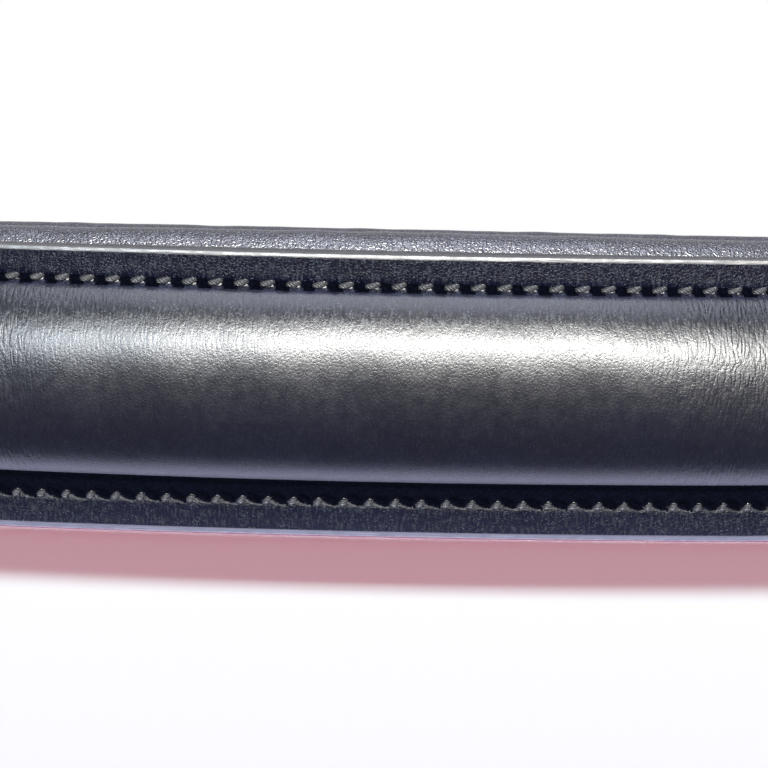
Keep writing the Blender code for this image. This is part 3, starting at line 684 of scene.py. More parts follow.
@dataclass(frozen=True)
class EdgePaint:
    """The smooth paint on a strap's cut edges, with faint lines of the leather's layers."""

    name: str
    colour: Triple
    roughness: float

    def make(self) -> bpy.types.Material:
        """The paint's material: a low, long ripple along the edge under a soft gloss."""
        nodes = Nodes(bpy.data.materials.new(self.name))
        fibres = nodes.noise(1.0, 3.0, nodes.stretched(0.004, 0.0004))
        normal = nodes.bump(fibres, 0.00006)
        colour = nodes.blend(nodes.noise(0.003, 3.0), self.colour, tuple(1.8 * part for part in self.colour))
        rough = nodes.span(nodes.noise(0.0012, 2.0), 0.3, 0.7, self.roughness - 0.07, self.roughness + 0.09)
        return nodes.close(colour, rough, normal, Specular_IOR_Level=0.38)


@dataclass(frozen=True)
class Thread:
    """Waxed sewing thread: strands that wind round each stitch."""

    name: str
    colour: Triple
    strand: float

    def make(self) -> bpy.types.Material:
        """The thread's material: slanted bands of the UV run as twisted strands, with fine fibres."""
        nodes = Nodes(bpy.data.materials.new(self.name))
        bands = nodes.add("ShaderNodeTexWave", wave_type="BANDS", bands_direction="X")
        nodes.feed(bands.inputs["Vector"], nodes.stretched(1.0, 1.0, math.radians(38)))
        bands.inputs["Scale"].default_value = 0.31 / self.strand
        bands.inputs["Distortion"].default_value = 0.6
        fibres = nodes.noise(0.00012, 2.0)
        normal = nodes.bump(bands.outputs["Fac"], 0.00016)
        normal = nodes.bump(fibres, 0.00003, normal)
        lighter = tuple(3.2 * part for part in self.colour)
        colour = nodes.blend(nodes.calc("MULTIPLY", bands.outputs["Fac"], 0.6), self.colour, lighter)
        rough = nodes.span(fibres, 0.3, 0.7, 0.50, 0.66)
        return nodes.close(colour, rough, normal, Specular_IOR_Level=0.35)


@dataclass(frozen=True)
class Steel:
    """Polished stainless steel with fine rubbing marks."""

    name: str
    colour: Triple
    roughness: float

    def make(self) -> bpy.types.Material:
        """The steel's material: fine long scratches and small changes in polish."""
        nodes = Nodes(bpy.data.materials.new(self.name))
        scratches = nodes.noise(1.0, 4.0, nodes.stretched(0.006, 0.00018))
        normal = nodes.bump(scratches, 0.000006)
        worn = nodes.span(nodes.noise(0.0035, 3.0), 0.35, 0.7)
        colour = nodes.blend(worn, self.colour, tuple(0.86 * part for part in self.colour))
        rough = nodes.span(worn, 0.0, 1.0, self.roughness, self.roughness + 0.10)
        return nodes.close(colour, rough, normal, Metallic=1.0)


@dataclass(frozen=True)
class Stuffing:
    """A dull fibrous matter: pressed felt, or the cut leather fibres inside a hole, also used as painted
    shade.
    """

    name: str
    colour: Triple
    cell: float
    gloss: float

    def make(self) -> bpy.types.Material:
        """The matter: open cells or fibres over an uneven colour."""
        nodes = Nodes(bpy.data.materials.new(self.name))
        cells = nodes.cells(self.cell, "F1")
        normal = nodes.bump(nodes.calc("ADD", cells, nodes.noise(self.cell * 0.5, 3.0)), self.cell * 0.4)
        colour = nodes.blend(cells, self.colour, tuple(0.6 * part for part in self.colour))
        return nodes.close(colour, 0.92, normal, Specular_IOR_Level=self.gloss)


DUST_COLOUR = (0.15, 0.17, 0.20)
RAISED_GRAIN = Leather(
    "raised_grain_leather",
    colour=(0.0028, 0.0034, 0.0125),
    faded=(0.0052, 0.0060, 0.0185),
    roughness=0.30,
    grain=0.00042,
    grain_depth=0.000010,
    crease_depth=0.000018,
    gloss=0.20,
    dust=0.60,
)
MARGIN_GRAIN = Leather(
    "margin_leather",
    colour=(0.0030, 0.0040, 0.0200),
    faded=(0.0058, 0.0070, 0.0270),
    roughness=0.42,
    grain=0.00038,
    grain_depth=0.000030,
    crease_depth=0.000020,
    gloss=0.05,
    dust=1.0,
)
STRAP_GRAIN = Leather(
    "strap_leather",
    colour=(0.0060, 0.0060, 0.0100),
    faded=(0.0120, 0.0120, 0.0180),
    roughness=0.34,
    grain=0.00045,
    grain_depth=0.000025,
    crease_depth=0.000030,
    gloss=0.32,
    dust=0.30,
)
LINING_GRAIN = Leather(
    "soft_lining_leather",
    colour=(0.0070, 0.0070, 0.0260),
    faded=(0.0120, 0.0120, 0.0400),
    roughness=0.33,
    grain=0.00045,
    grain_depth=0.000085,
    crease_depth=0.000030,
    gloss=0.52,
    dust=0.05,
)
# Dull dark cut leather: real in the stitch holes, where it also stands in for their shade, and painted shade
# in the lower valley.
RAW_AND_SHADE = Stuffing("raw_leather", colour=(0.0165, 0.0185, 0.0360), cell=0.0004, gloss=0.0)
PAINT = EdgePaint("edge_paint", colour=(0.012, 0.012, 0.018), roughness=0.42)
THREAD = Thread("waxed_thread", colour=(0.065, 0.065, 0.070), strand=0.00030)
STEEL = Steel("polished_steel", colour=(0.70, 0.70, 0.72), roughness=0.13)
FELT = Stuffing("firm_felt", colour=(0.25, 0.22, 0.18), cell=0.0006, gloss=0.2)
Finish = Leather | EdgePaint | Thread | Steel | Stuffing


class Dresser:
    """Gives pieces their finishes, and says what each rides on and stands for."""

    made: dict[str, bpy.types.Material] = {}
    slots = {
        "raised_grain_leather": "raised_leather",
        "strap_leather": "strap_leather",
        "soft_lining_leather": "lining_leather",
        "waxed_thread": "strap_leather",
        "polished_steel": "polished_steel",
        "firm_felt": "firm_filler",
    }

    @classmethod
    def material(cls, finish: Finish) -> bpy.types.Material:
        """The finish's material, made once."""
        if finish.name not in cls.made:
            cls.made[finish.name] = finish.make()
        return cls.made[finish.name]

    @classmethod
    def dress(cls, item: Item, body: str, finish: Finish, *nodes: str) -> Item:
        """Finish a piece and set it on its body.

        Args:
            item: the piece.
            body: the body that it moves with.
            finish: its main finish. A painted edge is on its second slot already.
            nodes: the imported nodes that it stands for.

        Returns:
            The piece.
        """
        if item.data.materials:
            item.data.materials[0] = cls.material(finish)
        else:
            item.data.materials.append(cls.material(finish))
        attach(item, body)
        if nodes:
            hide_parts(*nodes)
        LOG.info("%s: %d faces, rides on %s", item.name, len(item.data.polygons), body)
        return item

    @classmethod
    def paint_edges(cls, item: Item, across: int, wide: Array) -> None:
        """Give every quad whose column isn't on a wide side, and the end caps, the edge paint.

        Args:
            item: the strap.
            across: the points in each section.
            wide: (across,) true where the quads after that point lie on a wide side.
        """
        item.data.materials.append(cls.material(STRAP_GRAIN))
        item.data.materials.append(cls.material(PAINT))
        count = len(item.data.polygons)
        index = np.ones(count, np.int32)
        quads = count - count % across
        index[:quads] = np.where(wide, 0, 1)[np.arange(quads) % across]
        item.data.polygons.foreach_set("material_index", index)


class Strap:
    """Makes flat straps with painted edges on a course, or straight in the model's frame."""

    turns = 4
    round_share = 0.42
    marked_share = 0.8
    marks = (0.0003, 0.0008, 0.0011, 0.0014, 0.0017, 0.0020)
    groove_reach = 0.00028
    band_crease = 0.00008
    band_thickness = 0.0012
    band_corner = 0.0014

    @classmethod
    def cut(
        cls,
        name: str,
        path: Array,
        half: Array | float,
        thickness: float,
        width_way: Triple = (0.0, 0.0, 1.0),
        course: Course | None = None,
        closed: bool = False,
        crease: float = 0.0,
    ) -> Item:
        """A strap along a path, as a rounded rectangle carried on the path's tangent and its cross.

        Points stand close to each edge, so that the crease line pressed along it is a real groove.

        Args:
            name: the piece's name.
            path: (k, 3) middle line, as s, n and w where a course is given.
            half: (k,) half widths, or one for all.
            thickness: the strap's thickness.
            width_way: the width's direction, in the path's own terms.
            course: the course that bends the strap, or None.
            closed: whether the path closes on itself.
            crease: the depth of the line pressed along each edge.

        Returns:
            The strap, with leather on its wide sides and paint on its edges.
        """
        half = np.broadcast_to(half, len(path))
        radius = thickness * cls.round_share
        narrow = float(half.max()) - radius
        marks = np.array([mark for mark in cls.marks if mark < narrow * cls.marked_share])
        shares = np.linspace(1, -1, 7)[1:-1]
        angles = np.linspace(0, math.pi / 2, cls.turns + 1)
        inner = half[:, None] - radius
        top = np.concatenate([inner - marks, shares[None] * (inner - marks[-1]), marks[::-1] - inner], axis=1)
        groove = -crease * bell(marks - cls.marks[3], cls.groove_reach)
        top_height = thickness / 2 + np.concatenate([groove, np.zeros(len(shares)), groove[::-1]])
        top_height = np.broadcast_to(top_height, top.shape)
        up_arc, over_arc = radius * np.sin(angles), radius * np.cos(angles)
        low = thickness / 2 - radius
        arcs = (up_arc, up_arc[::-1])
        rising, falling = (np.broadcast_to(low + arc, (len(half), len(angles))) for arc in arcs)
        across = np.concatenate([inner + over_arc, top, -inner - over_arc[::-1]], axis=1)
        height = np.concatenate([rising, top_height, falling], axis=1)
        across = np.concatenate([across, -across], axis=1)
        height = np.concatenate([height, -height], axis=1)
        way = np.array(width_way)
        normal = unit(np.cross(Mesher.tangents(path, closed), way))
        grid = path[:, None] + way * across[..., None] + normal[:, None] * height[..., None]
        if course:
            grid = course.place(*np.moveaxis(grid, -1, 0))
        item = Mesher.grid(name, grid, round_u=closed)
        count = across.shape[1]
        wide = np.zeros(count, bool)
        first, last = cls.turns, cls.turns + top.shape[1]
        wide[first : last + 1] = True
        wide[count // 2 + first : count // 2 + last + 1] = True
        Dresser.paint_edges(item, count, wide)
        return item

    @classmethod
    def band(
        cls,
        name: str,
        course: Course,
        place: float,
        low: float,
        high: float,
        half: float,
        width: float,
        middle: float,
        upright: bool = True,
    ) -> Item:
        """A keeper: a closed leather band whose outline is a rounded rectangle round a strap.

        Args:
            name: the piece's name.
            course: the course of the strap that it holds.
            place: its middle, as s.
            low: the inside's lowest n.
            high: the inside's highest n.
            half: half the inside's width.
            width: the band's own width.
            middle: the height of its middle.
            upright: true round a strap that runs along s, false round one that runs up w.

        Returns:
            The keeper.
        """
        wall = cls.band_thickness / 2
        outline = Mesher.rounded(low - wall, high + wall, half + wall, cls.band_corner, turns=5, fills=7)
        n, b = outline[:, 0], outline[:, 1]
        if upright:
            path = joined(place, n, middle + b)
            way = (1.0, 0.0, 0.0)
        else:
            path = joined(place + b, n, middle)
            way = (0.0, 0.0, 1.0)
        crease = cls.band_crease
        return cls.cut(name, path, width / 2, cls.band_thickness, way, course, closed=True, crease=crease)


class Sewing:
    """Makes rows of stitches as one mesh of small waxed humps that dip into their holes."""

    pitch = 0.0028
    strap_pitch = 0.0027
    rings = 9
    sides = 6
    arch = 0.62
    sink = 0.42
    end_share = 0.35
    flatness = 0.85
    turn_change = 0.05
    size_change = 0.06
    side_share = 0.52

    @classmethod
    def row(
        cls,
        name: str,
        points: Array,
        ways: Array,
        normals: Array,
        length: float,
        thickness: float,
        slant: float = 0.10,
    ) -> Item:
        """Stitches at points: a capsule whose middle line is half a sine wave above the leather.

        Args:
            name: the piece's name.
            points: (k, 3) the stitches' middles on the leather's surface.
            ways: (k, 3) unit directions of the row.
            normals: (k, 3) unit directions away from the leather.
            length: each stitch's length.
            thickness: the thread's thickness.
            slant: each stitch's turn from the row's direction, in radians.

        Returns:
            One piece that holds them all.
        """
        t = np.linspace(0, 1, cls.rings)
        chance = np.random.default_rng(len(points))
        lift = thickness * (np.sin(math.pi * t) ** 0.7 * cls.arch - cls.sink)
        fullness = np.sin(math.pi * np.clip(t, 0.05, 0.95)) ** 0.45
        fat = thickness / 2 * (cls.end_share + (1 - cls.end_share) * fullness)
        angles = np.linspace(0, TURN, cls.sides, endpoint=False)
        along = np.broadcast_to(((t - 0.5) * length)[:, None], (cls.rings, cls.sides))
        across = fat[:, None] * np.cos(angles)
        above = lift[:, None] + fat[:, None] * np.sin(angles) * cls.flatness
        sides_way = unit(np.cross(normals, ways))
        turn = slant + chance.uniform(-cls.turn_change, cls.turn_change, len(points))
        lead = ways * np.cos(turn)[:, None] + sides_way * np.sin(turn)[:, None]
        beside = sides_way * np.cos(turn)[:, None] - ways * np.sin(turn)[:, None]
        swell = 1 + chance.uniform(-cls.size_change, cls.size_change, len(points))
        grid = points[:, None, None] + lead[:, None, None] * along[None, ..., None]
        grid = grid + beside[:, None, None] * (across[None] * swell[:, None, None])[..., None]
        grid = grid + normals[:, None, None] * (above[None] * swell[:, None, None])[..., None]
        size = cls.rings * cls.sides
        i, j = np.meshgrid(np.arange(cls.rings - 1), np.arange(cls.sides), indexing="ij")
        over = (j + 1) % cls.sides
        near, far = i * cls.sides, (i + 1) * cls.sides
        quad = np.stack([near + j, near + over, far + over, far + j], -1)
        starts = np.arange(len(points))[:, None, None] * size
        faces = (quad.reshape(1, -1, 4) + starts).reshape(-1, 4)
        cap = np.arange(cls.sides)
        caps = []
        for start in starts.ravel():
            caps += [cap[::-1] + start, cap + start + size - cls.sides]
        side = thickness * cls.side_share
        u, v = t * length, j * side
        run_u = np.stack([u[i], u[i], u[i + 1], u[i + 1]], -1).reshape(-1)
        run_v = np.stack([v, v + side, v + side, v], -1).reshape(-1)
        corner_uv = np.tile(joined(run_u, run_v), (len(points), 1))
        corner_uv = np.concatenate([corner_uv, np.zeros((len(caps) * cls.sides, 2))])
        item = Mesher.piece(name, grid.reshape(-1, 3), faces, caps, corner_uv)
        Mesher.outward(item)
        return item

    @classmethod
    def along(
        cls, name: str, course: Course, s: Array, n: Array, w: Array, upright: bool = False, **look: float
    ) -> Item:
        """A row of stitches on the outer face of leather on a course.

        Args:
            name: the piece's name.
            course: the course that the leather follows.
            s: the stitches' places along it.
            n: the surface's n at each.
            w: the surface's w at each.
            upright: true where the row runs up w in place of along s.
            look: the stitches' length and thickness, and their slant where it differs.

        Returns:
            The stitches.
        """
        s, n, w = np.broadcast_arrays(s, n, w)
        step = 0.0004
        points = course.place(s, n, w)
        if upright:
            ways = unit(course.place(s, n, w + step) - course.place(s, n, w - step))
        else:
            ways = unit(course.place(s + step, n, w) - course.place(s - step, n, w))
        _, out, _ = course.frame(s)
        return cls.row(name, points, ways, out, **look)

    @classmethod
    def places(cls, start: float, end: float, pitch: float) -> Array:
        """Evenly spaced stitch middles between two ends."""
        count = max(1, round((end - start) / pitch))
        return start + (np.arange(count) + 0.5) * (end - start) / count


@dataclass
class RaisedNosepiece:
    """The front of the noseband: base strap, raised cover, its two rows of stitches and the pad.

    A place on the cover is given as s along the strap and v up from its middle. Each pair of sizes
    is for the lower and the upper side.
    """

    raised_halves: Pair = (0.00995, 0.01206)
    raised_rise: float = 0.0050
    raised_half_length: float = 0.098
    raised_fade: float = 0.016
    raised_powers: Pair = (2.2, 0.6)
    inner_scale: Pair = (0.93, 0.9)
    margin_end: float = 0.007
    end_width: float = 0.55
    seam_halves: Pair = (0.01192, 0.01260)
    groove_depths: Pair = (0.00010, 0.00006)
    groove_reaches: Pair = (0.00030, 0.00040)
    hole_depth: float = 0.00080
    hole_halves: Pair = (0.00041, 0.00060)
    hole_shift: float = 0.00022
    hole_lean: float = 0.45
    hole_slope: float = 0.38
    shelf: float = 0.00020
    shelf_step: Pair = (2.6, 0.55)
    shelf_start: float = 0.00028
    shelf_run: float = 0.00086
    soft_join: float = 0.0001
    pucker: float = 0.00003
    unevenness: float = 0.00010
    edge_rounds: Pair = (0.00078, 0.00011)
    edge_fall: float = 0.8
    back_columns: int = 19
    row_step: float = 0.00025
    row_inset: float = 0.0045
    stitch_lifts: Pair = (0.00008, 0.00016)
    valley_lip: float = 0.0008
    hole_rim: float = 0.06
    margin_blend: Pair = (-0.0002, 0.0008)
    dusty: Pair = (0.0062, 0.002)
    streaked: Pair = (0.0035, 0.004)
    folds: tuple[Pair, ...] = ((-0.0395, 0.0030), (0.037, 0.007))
    far_folds: Pair = (0.046, 0.01)
    # Places and widths of the painted highlights: on the lip under each upper stitch, and along the front's
    # rounded edges.
    lip_highlight: Pair = (-0.00072, 0.00020)
    rim_highlight: Pair = (0.01572, 0.00012)
    filler_inset: float = 0.003
    filler_width: float = 0.9
    base_level: float = 0.00128
    base_thickness: float = 0.0025
    pad_half_length: float = 0.122

    def __post_init__(self) -> None:
        """Set the front's columns, as shares of its half width: they stand closer by the stitches."""
        near = [0, 1.2, 2.4, 3.6, 4.8, 6.0, 7.1, 8.1, 9.0, 9.4, 9.65, 9.9, 10.2, 10.5, 10.9, 11.25, 11.5]
        near += [11.7, 11.9, 12.1, 12.3, 12.5, 12.7, 12.9, 13.15, 13.5, 14.0, 14.6, 15.2, 15.5]
        near = np.array(near) / 16
        self.columns = np.concatenate([-near[:0:-1], near])
        self.under = 2 * SIZES.gap + SIZES.base_thickness

    def edge_half(self, s: Array) -> Array:
        """Half the cover's width, drawn in at its ends."""
        end = self.raised_half_length + self.margin_end
        return SIZES.nose_half(s) * round_end(s, end, self.margin_end, self.end_width)

    def reach(self, s: Array, v: Array) -> Array:
        """How far v is from the middle, as if the cover had its full width at s."""
        return np.abs(v) * (SIZES.nose_width / 2 / self.edge_half(s))

    def from_seam(self, s: Array, v: Array) -> Array:
        """How far v is outside its row of stitches, below 0 between the two rows."""
        return self.reach(s, v) - np.where(v < 0, *self.seam_halves)

    def share(self, s: Array, v: Array, width: float = 1.0) -> Array:
        """How far v is from the middle, as a share of the dome's half width, up to 1."""
        return np.clip(self.reach(s, v) / (width * np.where(v < 0, *self.raised_halves)), 0.0, 1.0)

    def dome(self, s: Array, v: Array, width: float = 1.0, height: float = 1.0) -> Array:
        """The dome's height, scaled in width and height: flat on top, and steep at its two feet."""
        rise = height * self.raised_rise * round_end(s, self.raised_half_length, self.raised_fade)
        flat, steep = self.raised_powers
        return rise * (1 - self.share(s, v, width) ** flat) ** steep

    def phase(self, s: Array, v: Array) -> Array:
        """How far s is through a stitch's pitch, from 0 at a hole to 1 at the next, on leaning holes."""
        leaned = (s + self.hole_lean * np.sign(v) * self.from_seam(s, v)) / Sewing.pitch
        return leaned - np.floor(leaned)

    def hole(self, s: Array, v: Array) -> Array:
        """1 inside each stitch hole and 0 outside, as a steep hill with a flat top."""
        phase = self.phase(s, v)
        from_hole = (phase - np.round(phase)) * Sewing.pitch
        high, wide = self.hole_halves
        across = self.from_seam(s, v) + self.hole_shift - np.where(v < 0, self.hole_slope, 0.0) * from_hole
        return np.exp(-((across / high) ** 4) - (from_hole / wide) ** 4)

    def front(self, s: Array, v: Array) -> Array:
        """The cover's front, as n.

        It is the dome, whose lower side is narrower than its upper side, and on the upper side a
        small shelf between holes, joined to it softly. From that it is less a groove along each
        seam, less the holes, with the leather puckered outside the seams and slightly uneven.
        """
        from_seam = self.from_seam(s, v)
        steep, start = self.shelf_step
        between = smooth(steep * (0.5 - 0.5 * np.cos(TURN * self.phase(s, v))) - start)
        shelf_share = np.clip(-(from_seam + self.shelf_start) / self.shelf_run, 0.0, 1.0)
        fill = self.shelf * between * shelf_share * (v > 0)
        height, join = self.dome(s, v), self.soft_join
        height = (height + fill + np.sqrt((height - fill) ** 2 + join**2) - join) / 2
        groove = np.where(v < 0, *self.groove_depths) * bell(from_seam, np.where(v < 0, *self.groove_reaches))
        outside = self.pucker * between * bell(from_seam - 0.0008, 0.0004)
        uneven = self.unevenness * ripple(s + v * 0.35, seed=5, longest=0.045, shortest=0.009)
        relief = outside + uneven * np.sqrt(1 - self.share(s, v))
        return SIZES.cover_face + height - groove - self.hole_depth * self.hole(s, v) + relief

    def inner(self, s: Array, v: Array) -> Array:
        """The cover's inner face, as n: the dome again, a little narrower and lower."""
        return self.under + self.dome(s, v, *self.inner_scale)

    def filler(self) -> Item:
        """The firm filler: flat on the base strap, and as high as the cover's inner face."""
        end = self.raised_half_length - self.filler_inset
        s = np.linspace(-end, end, 161)[:, None]
        low, high = self.raised_halves
        v = self.filler_width * np.concatenate([np.linspace(-low, 0, 12), np.linspace(0, high, 12)[1:]])[None]
        foot = np.broadcast_to(SIZES.base_thickness + SIZES.gap * 1.4, np.broadcast(s, v).shape)
        top = np.maximum(self.inner(s, v) - SIZES.gap * 0.4, foot + 0.0001)
        v = np.concatenate([v, v[:, ::-1]], axis=1)
        n = np.concatenate([top, foot], axis=1)
        return Mesher.grid("raised_filler", NOSE.place(s, n, SIZES.middle + v))

    def section(self, s: Array) -> tuple[Array, Array]:
        """The cover's section at each s: front, upper edge, back and lower edge.

        Args:
            s: (k, 1) places along the strap.

        Returns:
            The v and the n of each point, with the front's columns first.
        """
        edge = self.edge_half(s)
        low, high = self.edge_rounds
        front_v = np.clip(self.columns * edge, low - edge, edge - high)
        back_v = np.linspace(1, -1, self.back_columns) * (edge - low)
        out = np.linspace(0, 1, 5)[1:]
        high_v, low_v = edge - high * (1 - out), low * (1 - out[::-1]) - edge
        high_n, low_n = (SIZES.cover_face - self.edge_fall * r * out for r in (high, low))
        high_end, low_end = high_n[-1:] - 0.00006, low_n[-1:] - 0.00006
        foot = np.array([self.under])
        parts = (self.front(s, front_v), high_n, high_end, foot, self.inner(s, back_v))
        parts += (foot, low_end, low_n[::-1])
        n = [np.broadcast_to(part, (len(s), part.shape[-1])) for part in parts]
        v = [front_v, high_v, edge, edge, back_v, -edge, -edge, low_v]
        return np.concatenate(v, axis=1), np.concatenate(n, axis=1)

    def cover(self) -> Item:
        """The raised cover as one closed surface: front, rounded edges and back, on a fine grid."""
        end = self.raised_half_length + self.margin_end
        s = np.linspace(-end, end, int(2 * end / self.row_step) + 1)[:, None]
        v, n = self.section(s)
        item = Mesher.grid("raised_cover", NOSE.place(s, n, SIZES.middle + v), sharp=80)
        self.finish_front(item, s, v)
        self.mark_front(item, s, v)
        return item

    def finish_front(self, item: Item, s: Array, v: Array) -> None:
        """Give the front its finishes: grain, another outside the seams, dull cut leather in the holes, and
        the same dark matter in the lower valley as painted shade.

        Args:
            item: the cover.
            s: (k, 1) places along the strap.
            v: (k, m) the sections' v.
        """
        count, quads = v.shape[1], len(self.columns) - 1
        Dresser.paint_edges(item, count, np.arange(count) < quads)
        item.data.materials.append(Dresser.material(RAW_AND_SHADE))
        item.data.materials.append(Dresser.material(MARGIN_GRAIN))
        raw_and_shade, margin = 2, 3
        centre_s = (s[:-1] + s[1:]) / 2
        centre_v = (v[:-1, :quads] + v[1:, 1 : quads + 1]) / 2
        index = np.empty(len(item.data.polygons), np.int32)
        item.data.polygons.foreach_get("material_index", index)
        front = index[: (len(s) - 1) * count].reshape(-1, count)[:, :quads]
        beyond = self.from_seam(centre_s, centre_v) > 0
        front[beyond] = margin
        # Painted shade: the lower valley beside the seam gets the same dark dull leather.
        front[(centre_v < self.valley_lip - self.raised_halves[0]) & ~beyond] = raw_and_shade
        front[self.hole(centre_s, centre_v) > self.hole_rim] = raw_and_shade
        item.data.polygons.foreach_set("material_index", index)

    def mark_front(self, item: Item, s: Array, v: Array) -> None:
        """Store the front's marks: margin, dust, painted highlights by the stitches and edges, and creases.

        Args:
            item: the cover.
            s: (k, 1) places along the strap.
            v: (k, m) the sections' v.
        """
        face = np.arange(v.shape[1]) < len(self.columns)
        reach = self.reach(s, v)
        margin = ramp(self.from_seam(s, v), *self.margin_blend) * face
        dust = margin + 2.0 * ramp(v, *self.dusty) * face * (1 - margin)
        # Painted highlights: a pale lip under each upper stitch and a pale line along the front's rounded
        # edges, where light would glint.
        place, width = self.lip_highlight
        lip_highlight = 1.6 * bell(reach - self.seam_halves[1] - place, width) * (v > 0)
        place, width = self.rim_highlight
        rim_highlight = 0.5 * bell(reach - place, width)
        folds = sum(bell(s - place, width) for place, width in self.folds)
        folds = folds + 0.5 * ramp(np.abs(s), *self.far_folds)
        streaks = 0.42 * ramp(v, *self.streaked) * face
        crease = np.maximum(np.clip(folds, 0.0, 1.0), streaks) * (1 - 0.6 * margin)
        marks = {"dust": dust, "margin": margin, "wear": (rim_highlight + lip_highlight) * face, "crease": crease}
        for name, values in marks.items():
            Mesher.mark(item, name, values)

    def stitches(self, row: Row) -> Item:
        """One of the two rows that hold the cover, each stitch from hole to hole along its groove."""
        upper = row is Row.UPPER
        reach = self.raised_half_length + self.margin_end - self.row_inset
        count = int(reach / Sewing.pitch)
        s = (np.arange(-count, count) + 0.5) * Sewing.pitch
        v = row.value * self.seam_halves[upper] * self.edge_half(s) / (SIZES.nose_width / 2)
        n = self.front(s, v) + self.stitch_lifts[upper]
        look = {"length": 0.00120, "thickness": 0.00070, "slant": 0.75}
        if upper:
            look = {"length": 0.00165, "thickness": 0.00068, "slant": 0.22}
        return Sewing.along(f"{row.name.lower()}_cover_stitches", NOSE, s, n, SIZES.middle + v, **look)

    def base(self) -> Item:
        """The base strap, carried from ring to ring at its own narrowing width."""
        end = SIZES.nose_bar - SIZES.ring_wire - 2 * SIZES.gap
        s = np.linspace(-end, end, 301)
        path = joined(s, self.base_level, SIZES.middle)
        return Strap.cut("base_strap", path, SIZES.nose_half(s), self.base_thickness, course=NOSE)

    def build(self) -> None:
        """Make and dress the whole nosepiece."""
        Dresser.dress(self.cover(), "nosepiece", RAISED_GRAIN, "nosepiece_raised_cover")
        Dresser.dress(self.base(), "nosepiece", STRAP_GRAIN, "nosepiece_base_strap")
        for row in Row:
            Dresser.dress(self.stitches(row), "nosepiece", THREAD)
        roll = Pad("nosepiece_roll", NOSE, self.pad_half_length, 0.0).make()
        Dresser.dress(roll, "nosepiece", LINING_GRAIN, "nosepiece_pad_lining", "nosepiece_pad_foam")
        Dresser.dress(self.filler(), "nosepiece", FELT, "nosepiece_filler")


@dataclass
class Pad:
    """A long soft roll of lining leather over foam, with a flat face against its strap."""

    name: str
    course: Course
    half_length: float
    face: float
    fade: float = 0.018
    end_share: float = 0.55
    crown: float = 0.0010
    lumps: Pair = (0.00016, 0.00009)
    round_off: float = 0.005
    last_share: float = 0.9995
    step: float = 0.0011

    def fullness(self, s: Array) -> Array:
        """How full the roll is: 1 along it, drawn in over its last stretch."""
        return round_end(s, self.half_length, self.fade, self.end_share)

    def half_height(self, s: Array) -> Array:
        """Half the roll's height at s."""
        if self.course.at_back:
            return (SIZES.nose_width + 2 * SIZES.pad_bulge) / 2 - SIZES.pad_depth / 2 * (1 - self.fullness(s))
        return SIZES.nose_half(s) + SIZES.pad_bulge

    def make(self) -> Item:
        """The roll as one closed surface: two half rounds joined by a crowned back and a flat face.

        The end's sections shrink on a quarter circle, so that each end closes in a soft nose.
        """
        end = self.half_length - self.round_off
        inner = np.linspace(-end, end, int(2 * end / self.step) + 1)
        ends = self.round_off * np.sin(np.linspace(0, math.pi / 2, 10))[1:]
        s = np.concatenate([-(end + ends[::-1]), inner, end + ends])
        past = np.clip((np.abs(s) - end) / self.round_off, 0.0, self.last_share)
        close = np.sqrt(1 - past * past)
        full = self.fullness(s) * close
        half = self.half_height(s) - (1 - close) * SIZES.pad_depth * 0.5
        depth = SIZES.pad_depth * full
        radius = depth / 2
        straight = half - radius
        angles = np.linspace(0, math.pi, 21)
        arc_n = self.face - radius[:, None] + radius[:, None] * np.cos(angles)
        arc_v = straight[:, None] + radius[:, None] * np.sin(angles)
        shares = np.linspace(1, -1, 24)[1:-1]
        swell = self.crown * full[:, None] * (1 - shares**2)
        back_n = self.face - depth[:, None] - swell
        back_v = shares[None] * straight[:, None]
        front_n = np.broadcast_to(self.face, back_n.shape)
        n = np.concatenate([arc_n, back_n, arc_n[:, ::-1], front_n], axis=1)
        v = np.concatenate([arc_v, back_v, -arc_v[:, ::-1], back_v[:, ::-1]], axis=1)
        lumps = self.lumps[0] * ripple(s[:, None] + 0.4 * v, seed=9, longest=0.030, shortest=0.006)
        n = n + lumps * np.clip((self.face - n) / 0.003, 0.0, 1.0)
        lumps = self.lumps[1] * ripple(s[:, None] + n, seed=12, longest=0.024, shortest=0.007)
        v = v + lumps * np.sign(v) * np.clip(np.abs(v) / 0.012 - 0.6, 0.0, 1.0)
        grid = self.course.place(s[:, None], n, SIZES.middle + v)
        grid[..., 2] = np.maximum(grid[..., 2], 0.0)
        item = Mesher.grid(self.name, grid, sharp=80)
        Mesher.mark(item, "crease", np.broadcast_to(0.6, n.shape))
        Mesher.mark(item, "dust", np.broadcast_to(0.2, n.shape))
        return item


